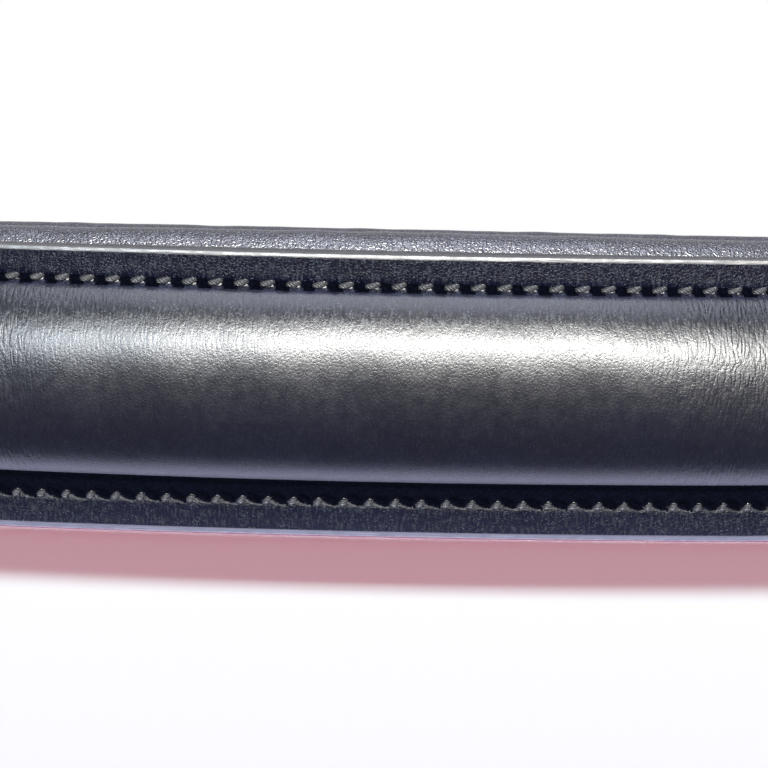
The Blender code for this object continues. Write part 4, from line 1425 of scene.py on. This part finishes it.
@dataclass
class Fold:
    """A leather fold that holds a ring's bar against both faces of a strap."""

    name: str
    course: Course
    bar: float
    tail: float
    middle: float
    core: float
    thickness: float = 0.0018
    flare: float = 0.0084
    seam_inset: float = 0.0021
    tail_inset: float = 0.0016

    @property
    def way(self) -> int:
        """1 where the bar is further along than the tail, and -1 where it is nearer."""
        return 1 if self.bar > self.tail else -1

    def make(self) -> Item:
        """The fold: two straight legs joined by a half circle round the bar."""
        way = self.way
        leg = self.core / 2 + SIZES.gap + self.thickness / 2
        bend = SIZES.ring_wire + SIZES.gap + self.thickness / 2
        lead = self.bar - way * self.flare
        s = np.linspace(self.tail, lead, 14)
        legs = joined(s, leg)
        share = np.linspace(0, 1, 10)[1:-1]
        flare = joined(lead + (self.bar - lead) * share, leg + (bend - leg) * smooth(share))
        arc = circle(np.linspace(math.pi / 2, -math.pi / 2, 25)) * bend * (way, 1) + (self.bar, 0)
        outer = np.concatenate([legs, flare])
        path = np.concatenate([outer, arc, (outer * (1, -1))[::-1]]) + (0, self.middle)
        local = joined(*path.T, SIZES.middle)
        return Strap.cut(self.name, local, SIZES.crank_width / 2, self.thickness, course=self.course)

    def stitches(self) -> list[Item]:
        """Rows along both edges, on the outer leg."""
        face = self.middle + self.core / 2 + SIZES.gap + self.thickness
        near, far = sorted((self.tail + self.way * self.tail_inset, self.bar - self.way * self.flare))
        s = Sewing.places(near, far, Sewing.strap_pitch)
        rows = []
        for side in Row:
            w = SIZES.middle + side.value * (SIZES.crank_width / 2 - self.seam_inset)
            name = f"{self.name}_{side.name.lower()}_stitches"
            rows.append(Sewing.along(name, self.course, s, face, w, length=0.0022, thickness=0.00060))
        return rows


@dataclass
class Ring:
    """A metal loop between the nosepiece and the chin part."""

    side_name: str
    side: int
    corner: float = 0.0035

    def make(self) -> Item:
        """The loop: a circle carried round a rounded rectangle that stands on the ring's heading."""
        half = SIZES.crank_width / 2 + SIZES.bar_room + SIZES.ring_wire
        start = NOSE.place(np.array(self.side * SIZES.nose_bar), SIZES.base_middle, SIZES.middle)
        ahead = np.array([self.side * math.cos(RING_HEADING), math.sin(RING_HEADING), 0.0])
        outline = Mesher.rounded(0.0, SIZES.ring_pitch, half, self.corner)
        path = start + ahead * outline[:, :1] + np.array([0.0, 0.0, 1.0]) * outline[:, 1:]
        plane = unit(np.cross(ahead, (0.0, 0.0, 1.0)))
        return Mesher.wire(f"{self.side_name}_steel_ring", path, plane, SIZES.ring_wire, True, 24)


@dataclass
class Tongue:
    """A buckle's tongue: a thinned end wrapped round the hinge bar and a straight pin on the far bar."""

    wire: float = 0.0010
    thin_share: float = 0.65
    overhang: float = 0.0025
    wrap_start: float = -50.0
    wrap_turn: float = 260.0

    def outline(self, bend: float, rest: float, pitch: float) -> tuple[Array, Array]:
        """The tongue's (along, out) points from its bar, and its radii.

        Args:
            bend: the radius of the wrap's middle line.
            rest: the out place where it lies on the far bar.
            pitch: the distance to the far bar.

        Returns:
            The points and the radii.
        """
        wrap = bend * circle(np.radians(self.wrap_start - self.wrap_turn * np.linspace(0, 1, 27)))
        share, tip_share = np.linspace(0, 1, 26)[1:], np.linspace(0, 1, 9)[1:]
        straight = wrap[-1] + (np.array([pitch, rest]) - wrap[-1]) * share[:, None]
        tip = joined(pitch + self.overhang * tip_share, rest)
        points = np.concatenate([wrap, straight, tip])
        thin = np.full(len(wrap), self.wire * self.thin_share)
        grow = self.wire * (self.thin_share + (1 - self.thin_share) * smooth(share * 2.5))
        round_off = self.wire * np.sqrt(np.clip(1 - (tip_share - 0.05) ** 4, 0.03, 1.0))
        return points, np.concatenate([thin, grow, round_off])


@dataclass
class CrankBuckle:
    """The chin strap's buckle: frame, roller and tongue on one hinge bar."""

    place: float
    height: float
    far_place: float
    far_height: float
    roller_radius: float
    wire: float = 0.0013
    corner: float = 0.0025
    waist: float = 0.00008

    def local(self, points: Array, upright: Array | float) -> Array:
        """Points of (along, out) from the hinge bar, and a height, put into the model."""
        return CHIN.place(self.place + points[:, 0], self.height + points[:, 1], SIZES.middle + upright)

    def frame_wire(self) -> Item:
        """The frame: a wire round a rounded rectangle on the slope between its two bars."""
        pitch = self.far_place - self.place
        half = SIZES.crank_width / 2 + SIZES.bar_room + self.wire
        outline = Mesher.rounded(0.0, pitch, half, self.corner)
        slope = (self.far_height - self.height) / pitch
        path = self.local(joined(outline[:, 0], outline[:, 0] * slope), outline[:, 1])
        plane = unit(np.cross(path[3] - path[0], path[30] - path[0]))
        return Mesher.wire("crank_buckle_frame", path, plane, self.wire, True)

    def roller(self) -> Item:
        """The roller: a turned tube with rounded ends and a shallow waist, closed on itself."""
        half = (SIZES.crank_width - self.roller_radius) / 2
        inner = self.wire + SIZES.gap
        wall = self.roller_radius - inner
        z = np.linspace(-half + wall / 2, half - wall / 2, 12)
        outer = joined(self.roller_radius - self.waist * (1 + np.cos(z / half * math.pi)), z)
        end = half - wall / 2
        top = circle(np.linspace(0, math.pi, 8)[1:-1]) * wall / 2 + (inner + wall / 2, end)
        back = joined(inner, np.array([end, -end]))
        profile = np.concatenate([outer, top, back, (top * (1, -1))[::-1]])
        angles = np.linspace(0, TURN, 40, endpoint=False)
        point, out, up = CHIN.frame(np.array(self.far_place))
        centre = point + out * self.far_height + up * SIZES.middle
        side = np.cross(up, out)
        spokes = np.cos(angles)[:, None] * out + np.sin(angles)[:, None] * side
        grid = centre + spokes[:, None] * profile[None, :, :1] + up * profile[None, :, 1:]
        return Mesher.grid("crank_buckle_roller", grid, round_u=True)

    def tongue(self) -> Item:
        """The tongue, level over the roller."""
        form = Tongue()
        bend = self.wire + SIZES.gap + form.wire * form.thin_share
        rest = self.far_height + self.roller_radius + SIZES.gap + form.wire - self.height
        points, radii = form.outline(bend, rest, self.far_place - self.place)
        path = self.local(points, 0.0)
        return Mesher.wire("crank_buckle_tongue", path, np.array([0.0, 0.0, 1.0]), radii, False)

    def build(self) -> None:
        """Make and dress the buckle's three pieces."""
        Dresser.dress(self.frame_wire(), "crank_buckle", STEEL, "buckle_frame")
        Dresser.dress(self.roller(), "crank_roller", STEEL, "buckle_roller")
        Dresser.dress(self.tongue(), "crank_tongue", STEEL, "buckle_tongue")


@dataclass
class ChinPart:
    """Everything behind the chin: crank strap, pad, loops, keepers and the buckle's fold."""

    fold_reach: float = 0.012
    buckle_place: float = 0.022
    buckle_pitch: float = 0.0165
    buckle_wire: float = 0.0013
    chape_thickness: float = 0.0014
    chape_length: float = 0.024
    roller_wall: float = 0.0006
    hole_pitch: float = 0.015
    hole_radius: float = 0.0018
    tongue_hole_start: float = 0.0012
    tongue_hole_length: float = 0.0092
    tongue_hole_width: float = 0.0032
    billet_end: float = 0.050
    billet_drop: float = 0.012
    point_length: float = 0.011
    keeper_width: float = 0.008
    fixed_keeper: float = 0.007
    loose_keeper: float = 0.025
    pad_loop: float = 0.066
    pad_loop_width: float = 0.010
    pad_half: float = 0.092
    pad_fade: float = 0.018
    backing_width: float = 0.030
    backing_end: float = 0.6
    backing_thickness: float = 0.0015
    seam_inset: float = 0.0022
    seam_end: float = 0.012
    strap_crease: float = 0.00016
    hole_cut: float = 0.0028
    hole_points: int = 28
    slot_half: float = 0.0016

    def __post_init__(self) -> None:
        """Work out the levels that the layers lie at, outward from the crank strap's middle."""
        gap, thick = SIZES.gap, SIZES.crank_thickness
        self.flat_reach = self.fold_reach * 0.8
        self.top = thick / 2
        self.tail_level = thick + gap
        self.bar_height = self.top + 2 * gap + self.chape_thickness + self.buckle_wire
        self.roller_radius = self.buckle_wire + gap + self.roller_wall
        self.far_place = self.buckle_place + self.buckle_pitch
        self.far_height = self.tail_level + self.top + gap + self.roller_radius
        self.chape_top = self.top + 2 * gap + 2 * self.chape_thickness
        self.over_bar = self.bar_height + self.buckle_wire + 2 * gap + self.chape_thickness + self.top
        self.over_chape = self.chape_top + gap + self.top
        self.chape_end = self.buckle_place - self.chape_length
        self.backing_face = -self.top - 2 * gap - Strap.band_thickness
        self.table = np.array(
            [
                (SIZES.chin_bar, SIZES.ring_wire + gap + self.top),
                (SIZES.chin_bar - self.fold_reach, self.tail_level),
                (self.far_place, self.tail_level),
                (self.buckle_place, self.over_bar),
                (self.buckle_place - self.flat_reach, self.over_chape),
                (self.chape_end - gap, self.over_chape),
                (self.chape_end - self.billet_drop, self.tail_level),
            ]
        )

    def level(self, s: Array) -> Array:
        """The tail's n at s: the table's levels, joined by smooth steps."""
        result = np.full_like(s, self.table[-1, 1])
        for (s_a, n_a), (s_b, n_b) in zip(self.table, self.table[1:]):
            inside = (s <= s_a) & (s >= s_b)
            result = np.where(inside, n_a + (n_b - n_a) * smooth((s_a - s) / (s_a - s_b)), result)
        return np.where(s > self.table[0, 0], self.table[0, 1], result)

    def strap(self) -> Item:
        """The crank strap: out behind the chin, half round the right ring's bar and back, to a point."""
        bend = SIZES.ring_wire + SIZES.gap + self.top
        start = -(SIZES.chin_bar - SIZES.ring_wire - 2 * SIZES.gap)
        turn_from = SIZES.chin_bar - self.fold_reach
        s = np.linspace(start, turn_from, 130)
        out_run = joined(s, 0.0)
        share = np.linspace(0, 1, 10)[1:-1]
        dip = joined(SIZES.chin_bar - self.fold_reach * (1 - share), -bend * smooth(share))
        arc = bend * circle(np.linspace(-math.pi / 2, math.pi / 2, 29)) + (SIZES.chin_bar, 0)
        tip_from = -(self.billet_end - self.point_length)
        s = np.linspace(SIZES.chin_bar, tip_from, 240)[1:]
        back_run = joined(s, self.level(s))
        share = np.sin(np.linspace(0, math.pi / 2, 24))[1:]
        tip = joined(tip_from - self.point_length * share, self.tail_level)
        points = np.concatenate([out_run, dip, arc, back_run, tip])
        half = np.full(len(points), SIZES.crank_width / 2)
        half[-len(tip) :] *= np.sqrt(1.04 - share**2.4)
        local = joined(*points.T, SIZES.middle)
        thick, crease = SIZES.crank_thickness, self.strap_crease
        item = Strap.cut("crank_strap_leather", local, half, thick, course=CHIN, crease=crease)
        self.punch(item)
        return item

    def punch(self, item: Item) -> None:
        """Cut the strap's round holes and the long hole that the tongue and buckle bar pass."""
        first = self.buckle_place + self.tongue_hole_start + self.tongue_hole_length / 2
        tools = []
        halves = (self.hole_radius, self.hole_radius)
        for k in (-2, -1, 1, 2, 3, 4):
            s = first + k * self.hole_pitch
            centre = (s, float(self.level(np.array(s))), SIZES.middle)
            tools.append(Mesher.oval(CHIN, centre, halves, self.hole_cut, self.hole_points))
        centre = (first, (self.over_bar + self.chape_top + self.top) / 2, SIZES.middle)
        halves = (self.tongue_hole_length / 2, self.tongue_hole_width / 2)
        tools.append(Mesher.oval(CHIN, centre, halves, self.over_bar - self.top, self.hole_points))
        Mesher.bore(item, tools)

    def buckle_fold(self) -> Item:
        """The leather that holds the buckle's hinge bar, with a slot for the tongue."""
        thick = self.chape_thickness
        bend = self.buckle_wire + SIZES.gap + thick / 2
        lower = self.top + SIZES.gap + thick / 2
        upper = lower + thick + SIZES.gap
        flat = self.buckle_place - self.flat_reach
        s = np.linspace(self.chape_end, self.buckle_place, 30)
        under = joined(s, lower)
        angles = np.linspace(-math.pi / 2, math.pi / 2, 25)[1:]
        arc = bend * circle(angles) + (self.buckle_place, self.bar_height)
        share = np.linspace(0, 1, 14)[1:]
        peak = self.bar_height + bend
        run = self.buckle_place + (flat - self.buckle_place) * share
        fall = joined(run, peak + (upper - peak) * smooth(share))
        s = np.linspace(flat, self.chape_end, 16)[1:]
        over = joined(s, upper)
        points = np.concatenate([under, arc, fall, over])
        local = joined(*points.T, SIZES.middle)
        item = Strap.cut("buckle_fold", local, SIZES.crank_width / 2, thick, course=CHIN)
        reach = bend + thick / 2 + SIZES.gap
        centre = (self.buckle_place, self.bar_height, SIZES.middle)
        Mesher.bore(item, [Mesher.oval(CHIN, centre, (reach, self.slot_half), 2 * reach, self.hole_points)])
        return item

    def backing(self) -> Item:
        """The flat leather on the pad's outer face, narrowed at its round ends."""
        s = np.linspace(-self.pad_half, self.pad_half, 201)
        path = joined(s, self.backing_face - self.backing_thickness / 2, SIZES.middle)
        half = self.backing_width / 2 * round_end(s, self.pad_half, self.pad_fade, self.backing_end)
        return Strap.cut("chin_backing", path, half, self.backing_thickness, course=CHIN)

    def band(self, name: str, place: float, high: float, width: float) -> Item:
        """A keeper round the crank strap."""
        half = SIZES.crank_width / 2 + SIZES.gap
        low = -self.top - SIZES.gap
        return Strap.band(name, CHIN, place, low, high, half, width, SIZES.middle)

    def sewing(self) -> list[Item]:
        """The rows on the outer face of the pad's backing."""
        rows = []
        end = self.pad_half - self.seam_end
        s = Sewing.places(-end, end, Sewing.pitch)
        for side in Row:
            w = SIZES.middle + side.value * (self.backing_width / 2 - self.seam_inset)
            name = f"chin_pad_{side.name.lower()}_stitches"
            rows.append(Sewing.along(name, CHIN, s, self.backing_face, w, length=0.0024, thickness=0.00066))
        return rows

    def build(self) -> None:
        """Make and dress the chin part."""
        bar, gap = SIZES.chin_bar, SIZES.gap
        fold = Fold("chin_ring_fold", CHIN, -bar, SIZES.chape_length - bar, 0.0, SIZES.crank_thickness)
        Dresser.dress(fold.make(), "chin", STRAP_GRAIN, "chin_ring_chape")
        for row in fold.stitches() + self.sewing():
            Dresser.dress(row, "chin", THREAD)
        Dresser.dress(self.strap(), "chin", STRAP_GRAIN, "crank_strap")
        Dresser.dress(self.buckle_fold(), "chin", STRAP_GRAIN, "buckle_chape")
        Dresser.dress(self.backing(), "chin", STRAP_GRAIN, "chin_pad_backing")
        face = self.backing_face - self.backing_thickness
        roll = Pad("chin_roll", CHIN, self.pad_half, face).make()
        Dresser.dress(roll, "chin", LINING_GRAIN, "chin_pad_lining", "chin_pad_foam")
        tail = self.tail_level + self.top + gap
        high = self.over_chape + self.top + gap
        bands = (
            ("fixed_keeper_leather", self.fixed_keeper, high, "crank_fixed_keeper"),
            ("left_loop_leather", -self.pad_loop, self.top + gap, "left_pad_loop"),
            ("right_loop_leather", self.pad_loop, tail, "right_pad_loop"),
            ("loose_keeper_leather", -self.loose_keeper, tail, "crank_loose_keeper"),
        )
        for name, place, face, node in bands:
            width = self.keeper_width if "keeper" in name else self.pad_loop_width
            body = "crank_keeper" if "loose" in name else "chin"
            Dresser.dress(self.band(name, place, face, width), body, STRAP_GRAIN, node)
        hinge, far = (self.buckle_place, self.bar_height), (self.far_place, self.far_height)
        CrankBuckle(*hinge, *far, self.roller_radius).build()


@dataclass
class Hanger:
    """One side's hanger: a folded strap that stands on the nosepiece with its buckle and keepers."""

    side_name: str
    side: int
    place_share: float = 0.1155
    width: float = 0.013
    thickness: float = 0.0018
    foot: float = 0.005
    foot_width: float = 0.8
    bar_height: float = 0.078
    fold_length: float = 0.028
    wire: float = 0.0012
    pitch: float = 0.0130
    corner: float = 0.0022
    keeper_width: float = 0.006
    keeper_drop: float = 0.0095
    loose_drop: float = 0.0200
    billet_room: float = 0.0024
    seam_inset: float = 0.0019
    strap_crease: float = 0.0001
    slot_half: float = 0.0016

    def __post_init__(self) -> None:
        """Work out the strap's levels, as n outward from the nosepiece."""
        gap = SIZES.gap
        self.place = self.side * self.place_share
        self.face = 2 * gap + SIZES.base_thickness + self.thickness / 2
        self.bend = self.wire + gap + self.thickness / 2
        self.bar = self.face - self.bend
        self.inner = self.face - self.thickness - gap

    def strap(self) -> Item:
        """The strap: up the outer face, half round the bar and back down to its turned end."""
        w = np.linspace(self.foot, self.bar_height, 60)[:-1]
        up = joined(self.face, w)
        arc = self.bend * circle(np.linspace(0, math.pi, 25)) + (self.bar, self.bar_height)
        share = np.linspace(0, 1, 14)[1:]
        drop = self.keeper_drop * 0.7
        low = self.bar - self.bend
        fall = joined(low + (self.inner - low) * smooth(share), self.bar_height - drop * share)
        w = np.linspace(self.bar_height - drop, self.bar_height - self.fold_length, 22)[1:]
        down = joined(self.inner, w)
        points = np.concatenate([up, arc, fall, down])
        half = np.full(len(points), self.width / 2)
        foot = np.clip((w.size - np.arange(w.size)) / 6, 0, 1)
        half[-w.size :] *= self.foot_width + (1 - self.foot_width) * np.sqrt(foot)
        local = joined(self.place, *points.T)
        name = f"{self.side_name}_hanger_leather"
        item = Strap.cut(name, local, half, self.thickness, (1.0, 0.0, 0.0), NOSE, crease=self.strap_crease)
        reach = self.bend + self.thickness / 2 + SIZES.gap
        centre = (self.place, self.bar, self.bar_height)
        Mesher.bore(item, [Mesher.oval(NOSE, centre, (self.slot_half, reach), 2 * reach, 24)])
        return item

    def buckle(self) -> Item:
        """The buckle's frame: a wire round a rounded rectangle."""
        half = self.width / 2 + SIZES.bar_room + self.wire
        outline = Mesher.rounded(0.0, self.pitch, half, self.corner)
        path = NOSE.place(self.place + outline[:, 1], self.bar, self.bar_height + outline[:, 0])
        _, plane, _ = NOSE.frame(np.array(self.place))
        return Mesher.wire(f"{self.side_name}_buckle_frame", path, plane, self.wire, True)

    def tongue(self) -> Item:
        """The tongue, which lies on the buckle's far bar."""
        form = Tongue()
        bend = self.wire + SIZES.gap + form.wire * form.thin_share
        points, radii = form.outline(bend, self.wire + SIZES.gap + form.wire, self.pitch)
        path = NOSE.place(self.place, self.bar + points[:, 1], self.bar_height + points[:, 0])
        _, out, up = NOSE.frame(np.array(self.place))
        return Mesher.wire(f"{self.side_name}_buckle_tongue", path, np.cross(out, up), radii, False)

    def keeper(self, name: str, drop: float) -> Item:
        """A keeper round both layers, with room outside them for the head strap's tail."""
        low = self.inner - self.thickness / 2 - SIZES.gap
        high = self.face + self.thickness / 2 + SIZES.gap + self.billet_room
        half = self.width / 2 + SIZES.gap
        name, middle = f"{self.side_name}_{name}", self.bar_height - drop
        return Strap.band(name, NOSE, self.place, low, high, half, self.keeper_width, middle, upright=False)

    def stitches(self) -> list[Item]:
        """The rows up both edges where the strap is sewn to the nosepiece, and below the buckle."""
        face = self.face + self.thickness / 2
        sewn_end = SIZES.middle + SIZES.nose_end_width / 2 + 0.002
        fold_start = self.bar_height - self.fold_length + 0.001
        fold_end = self.bar_height - self.loose_drop - self.keeper_width / 2 - 0.0006
        rows = []
        for side in Row:
            s = self.place + side.value * (self.width / 2 - self.seam_inset)
            for part, start, end in (("hanger", self.foot + 0.002, sewn_end), ("fold", fold_start, fold_end)):
                w = Sewing.places(start, end, Sewing.strap_pitch)
                name = f"{self.side_name}_{part}_{side.name.lower()}_stitches"
                look = {"upright": True, "length": 0.0022, "thickness": 0.00058}
                rows.append(Sewing.along(name, NOSE, s, face, w, **look))
        return rows

    def build(self) -> None:
        """Make and dress this side's hanger."""
        side = self.side_name
        Dresser.dress(self.strap(), "nosepiece", STRAP_GRAIN, f"{side}_hanger_strap")
        for row in self.stitches():
            Dresser.dress(row, "nosepiece", THREAD)
        fixed = self.keeper("fixed_loop", self.keeper_drop)
        Dresser.dress(fixed, "nosepiece", STRAP_GRAIN, f"{side}_hanger_fixed_keeper")
        loose = self.keeper("sliding_loop", self.loose_drop)
        Dresser.dress(loose, f"{side}_keeper", STRAP_GRAIN, f"{side}_hanger_loose_keeper")
        Dresser.dress(self.buckle(), f"{side}_buckle", STEEL, f"{side}_hanger_buckle")
        Dresser.dress(self.tongue(), f"{side}_tongue", STEEL, f"{side}_hanger_tongue")


@dataclass(frozen=True)
class Lamp:
    """A soft rectangular lamp, which may be left out of matt light or of shine."""

    name: str
    place: Triple
    size: Pair
    watts: float
    colour: Triple
    diffuse: bool = True
    glossy: bool = True

    def hang(self, aim: Triple) -> None:
        """Put the lamp in the scene at its place, turned to face a point."""
        data = bpy.data.lights.new(self.name, "AREA")
        data.shape = "RECTANGLE"
        data.size, data.size_y = self.size
        data.energy = self.watts
        data.color = self.colour
        item = bpy.data.objects.new(self.name, data)
        way = (Vector(aim) - Vector(self.place)).to_track_quat("-Z", "Y").to_matrix().to_4x4()
        item.matrix_world = Matrix.Translation(self.place) @ way
        item.visible_diffuse = self.diffuse
        item.visible_glossy = self.glossy
        bpy.context.scene.collection.objects.link(item)


LAMPS = (
    Lamp(
        "front_softbox",
        place=(0.14, -1.13, 0.335),
        size=(1.05, 0.26),
        watts=136.0,
        colour=(1.0, 0.99, 0.94),
        diffuse=False,
    ),
    Lamp(
        "left_softbox",
        place=(-0.62, -1.13, 0.335),
        size=(0.46, 0.26),
        watts=27.0,
        colour=(0.80, 0.91, 1.0),
        diffuse=False,
    ),
    Lamp(
        "top_softbox",
        place=(0.0, -0.34, 0.97),
        size=(0.9, 0.76),
        watts=28.0,
        colour=(0.84, 0.88, 1.0),
        diffuse=False,
    ),
    Lamp(
        "front_fill",
        place=(0.10, -1.13, 0.27),
        size=(0.95, 0.26),
        watts=4.0,
        colour=(0.72, 0.84, 1.0),
        glossy=False,
    ),
    Lamp(
        "rear_softbox",
        place=(0.0, 1.0, 1.16),
        size=(1.2, 0.24),
        watts=30.0,
        colour=(0.98, 0.98, 1.0),
        glossy=False,
    ),
)


@dataclass
class Studio:
    """The camera, the soft lights, the pale floor and the white surround."""

    distance: float = 0.2465
    elevation: float = math.radians(4.05)
    field: float = math.radians(19.2)
    roll: float = math.radians(1.2)
    lift: float = 0.0023
    dome_depth: float = 0.003
    softness: float = 0.23
    lamp_aim: Triple = (0.0, -0.08, 0.02)
    floor_reach: float = 6.0
    # Each pair is a diffuse colour and an emission glow; the glow is painted light that lifts the floor's
    # shadow, neutral here and rosy before the nosepiece.
    pale: tuple[Triple, ...] = ((0.88, 0.88, 0.88), (0.12, 0.12, 0.125))
    rosy: tuple[Triple, ...] = ((0.64, 0.93, 0.90), (0.35, 0.035, 0.07))
    rosy_span: Pair = (-0.12, -0.03)
    fade_out: Pair = (0.12, 0.45)
    # Painted reflection: an emission that only reflections see, dim under the nosepiece, bright at its foot
    # and white beyond.
    foot_rise: tuple[float, ...] = (-0.0040, -0.0015, 0.1, 1.0)
    foot_fall: tuple[float, ...] = (0.0028, 0.0078, 6.5, 1.0)
    painted_reflection_glow: Triple = (0.83, 0.84, 1.15)

    def camera(self) -> None:
        """A camera on the front's middle, turned about its own axis by the photograph's slant."""
        point, out, up = NOSE.frame(np.array(0.0))
        target = Vector(point + out * (SIZES.cover_face + self.dome_depth) + up * SIZES.middle)
        target += Vector((0, 0, self.lift))
        away = Vector((0, -math.cos(self.elevation), math.sin(self.elevation)))
        data = bpy.data.cameras.new("camera")
        data.angle = self.field
        data.clip_start = 0.01
        item = bpy.data.objects.new("camera", data)
        look = (-away).to_track_quat("-Z", "Y").to_matrix().to_4x4() @ Matrix.Rotation(self.roll, 4, "Z")
        item.matrix_world = Matrix.Translation(target + away * self.distance) @ look
        bpy.context.scene.collection.objects.link(item)
        bpy.context.scene.camera = item

    def surround(self) -> None:
        """A world that is white to look at and in reflections, and softer as light."""
        world = bpy.data.worlds.new("white_surround")
        bpy.context.scene.world = world
        nodes = Nodes(world)
        soft = nodes.plain("ShaderNodeBackground", (0.93, 0.95, 1.0), self.softness)
        white = nodes.plain("ShaderNodeBackground", (1.0, 1.0, 1.0), 1.0)
        nodes.feed(nodes.output.inputs[0], nodes.mixed(nodes.seen(), soft, white))

    def floor(self) -> None:
        """A plain pale floor that keeps a soft shadow, rosy before the nosepiece as in the photograph.

        Camera rays see it lit, with an emission glow of painted light that lifts its shadow and tints it
        rosy before the nosepiece, and plain white far away. Glossy and transmission rays see a painted
        reflection: a white glow, dim under the nosepiece and much brighter at its foot, for polished leather
        to show.
        """
        mesh = bpy.data.meshes.new("floor")
        reach = self.floor_reach
        corners = [(-reach, -reach, 0), (reach, -reach, 0), (reach, reach, 0), (-reach, reach, 0)]
        mesh.from_pydata(corners, [], [(0, 1, 2, 3)])
        item = bpy.data.objects.new("floor", mesh)
        bpy.context.scene.collection.objects.link(item)
        material = bpy.data.materials.new("pale_floor")
        nodes = Nodes(material)
        bow = SIZES.nose_stretches[0][0]
        middle = NOSE.place(np.array(0.0), SIZES.cover_face, 0.0)
        centre = nodes.add("ShaderNodeVectorMath", operation="DISTANCE")
        nodes.feed(centre.inputs[0], nodes.coordinates.outputs["Object"])
        centre.inputs[1].default_value = (middle[0], middle[1] + bow, 0.0)
        before = nodes.calc("SUBTRACT", centre.outputs["Value"], bow)
        rosy = nodes.span(before, *self.rosy_span)
        lit = nodes.add("ShaderNodeAddShader")
        kinds = ("ShaderNodeBsdfDiffuse", "ShaderNodeEmission")
        # Painted light: the emission glow lifts the floor's shadow, rosy before the nosepiece.
        for socket, kind, pale, red in zip(lit.inputs, kinds, self.pale, self.rosy):
            nodes.feed(socket, nodes.plain(kind, nodes.blend(rosy, pale, red)))
        blank = nodes.plain("ShaderNodeEmission", (1.0, 1.0, 1.0), 1.0)
        shown = nodes.mixed(nodes.span(before, *self.fade_out), lit.outputs[0], blank)
        rise, fall = nodes.span(before, *self.foot_rise), nodes.span(before, *self.foot_fall)
        # Painted reflection: a glow that only reflections see, dim under the nosepiece and bright at its
        # foot.
        painted_reflection_glow = nodes.plain("ShaderNodeEmission", self.painted_reflection_glow, nodes.calc("MULTIPLY", rise, fall))
        camera = nodes.add("ShaderNodeLightPath").outputs["Is Camera Ray"]
        plain = nodes.plain("ShaderNodeBsdfDiffuse", self.pale[0])
        surface = nodes.mixed(nodes.seen(), plain, nodes.mixed(camera, painted_reflection_glow, shown))
        nodes.feed(nodes.output.inputs[0], surface)
        mesh.materials.append(material)

    def build(self) -> None:
        """Set up the whole studio."""
        self.camera()
        self.surround()
        self.floor()
        for lamp in LAMPS:
            lamp.hang(self.lamp_aim)
        bpy.context.scene.view_settings.view_transform = "Standard"


def main() -> None:
    """Build the studio and every sub-assembly in order."""
    Studio().build()
    RaisedNosepiece().build()
    for side_name, side in (("left", -1), ("right", 1)):
        bar = side * SIZES.nose_bar
        tail = bar - side * SIZES.chape_length
        fold = Fold(f"{side_name}_ring_fold", NOSE, bar, tail, SIZES.base_middle, SIZES.base_thickness)
        Dresser.dress(fold.make(), "nosepiece", STRAP_GRAIN, f"{side_name}_ring_chape")
        for row in fold.stitches():
            Dresser.dress(row, "nosepiece", THREAD)
        Dresser.dress(Ring(side_name, side).make(), f"{side_name}_ring", STEEL, f"{side_name}_ring")
        Hanger(side_name, side).build()
    ChinPart().build()


if __name__ == "__main__":
    main()
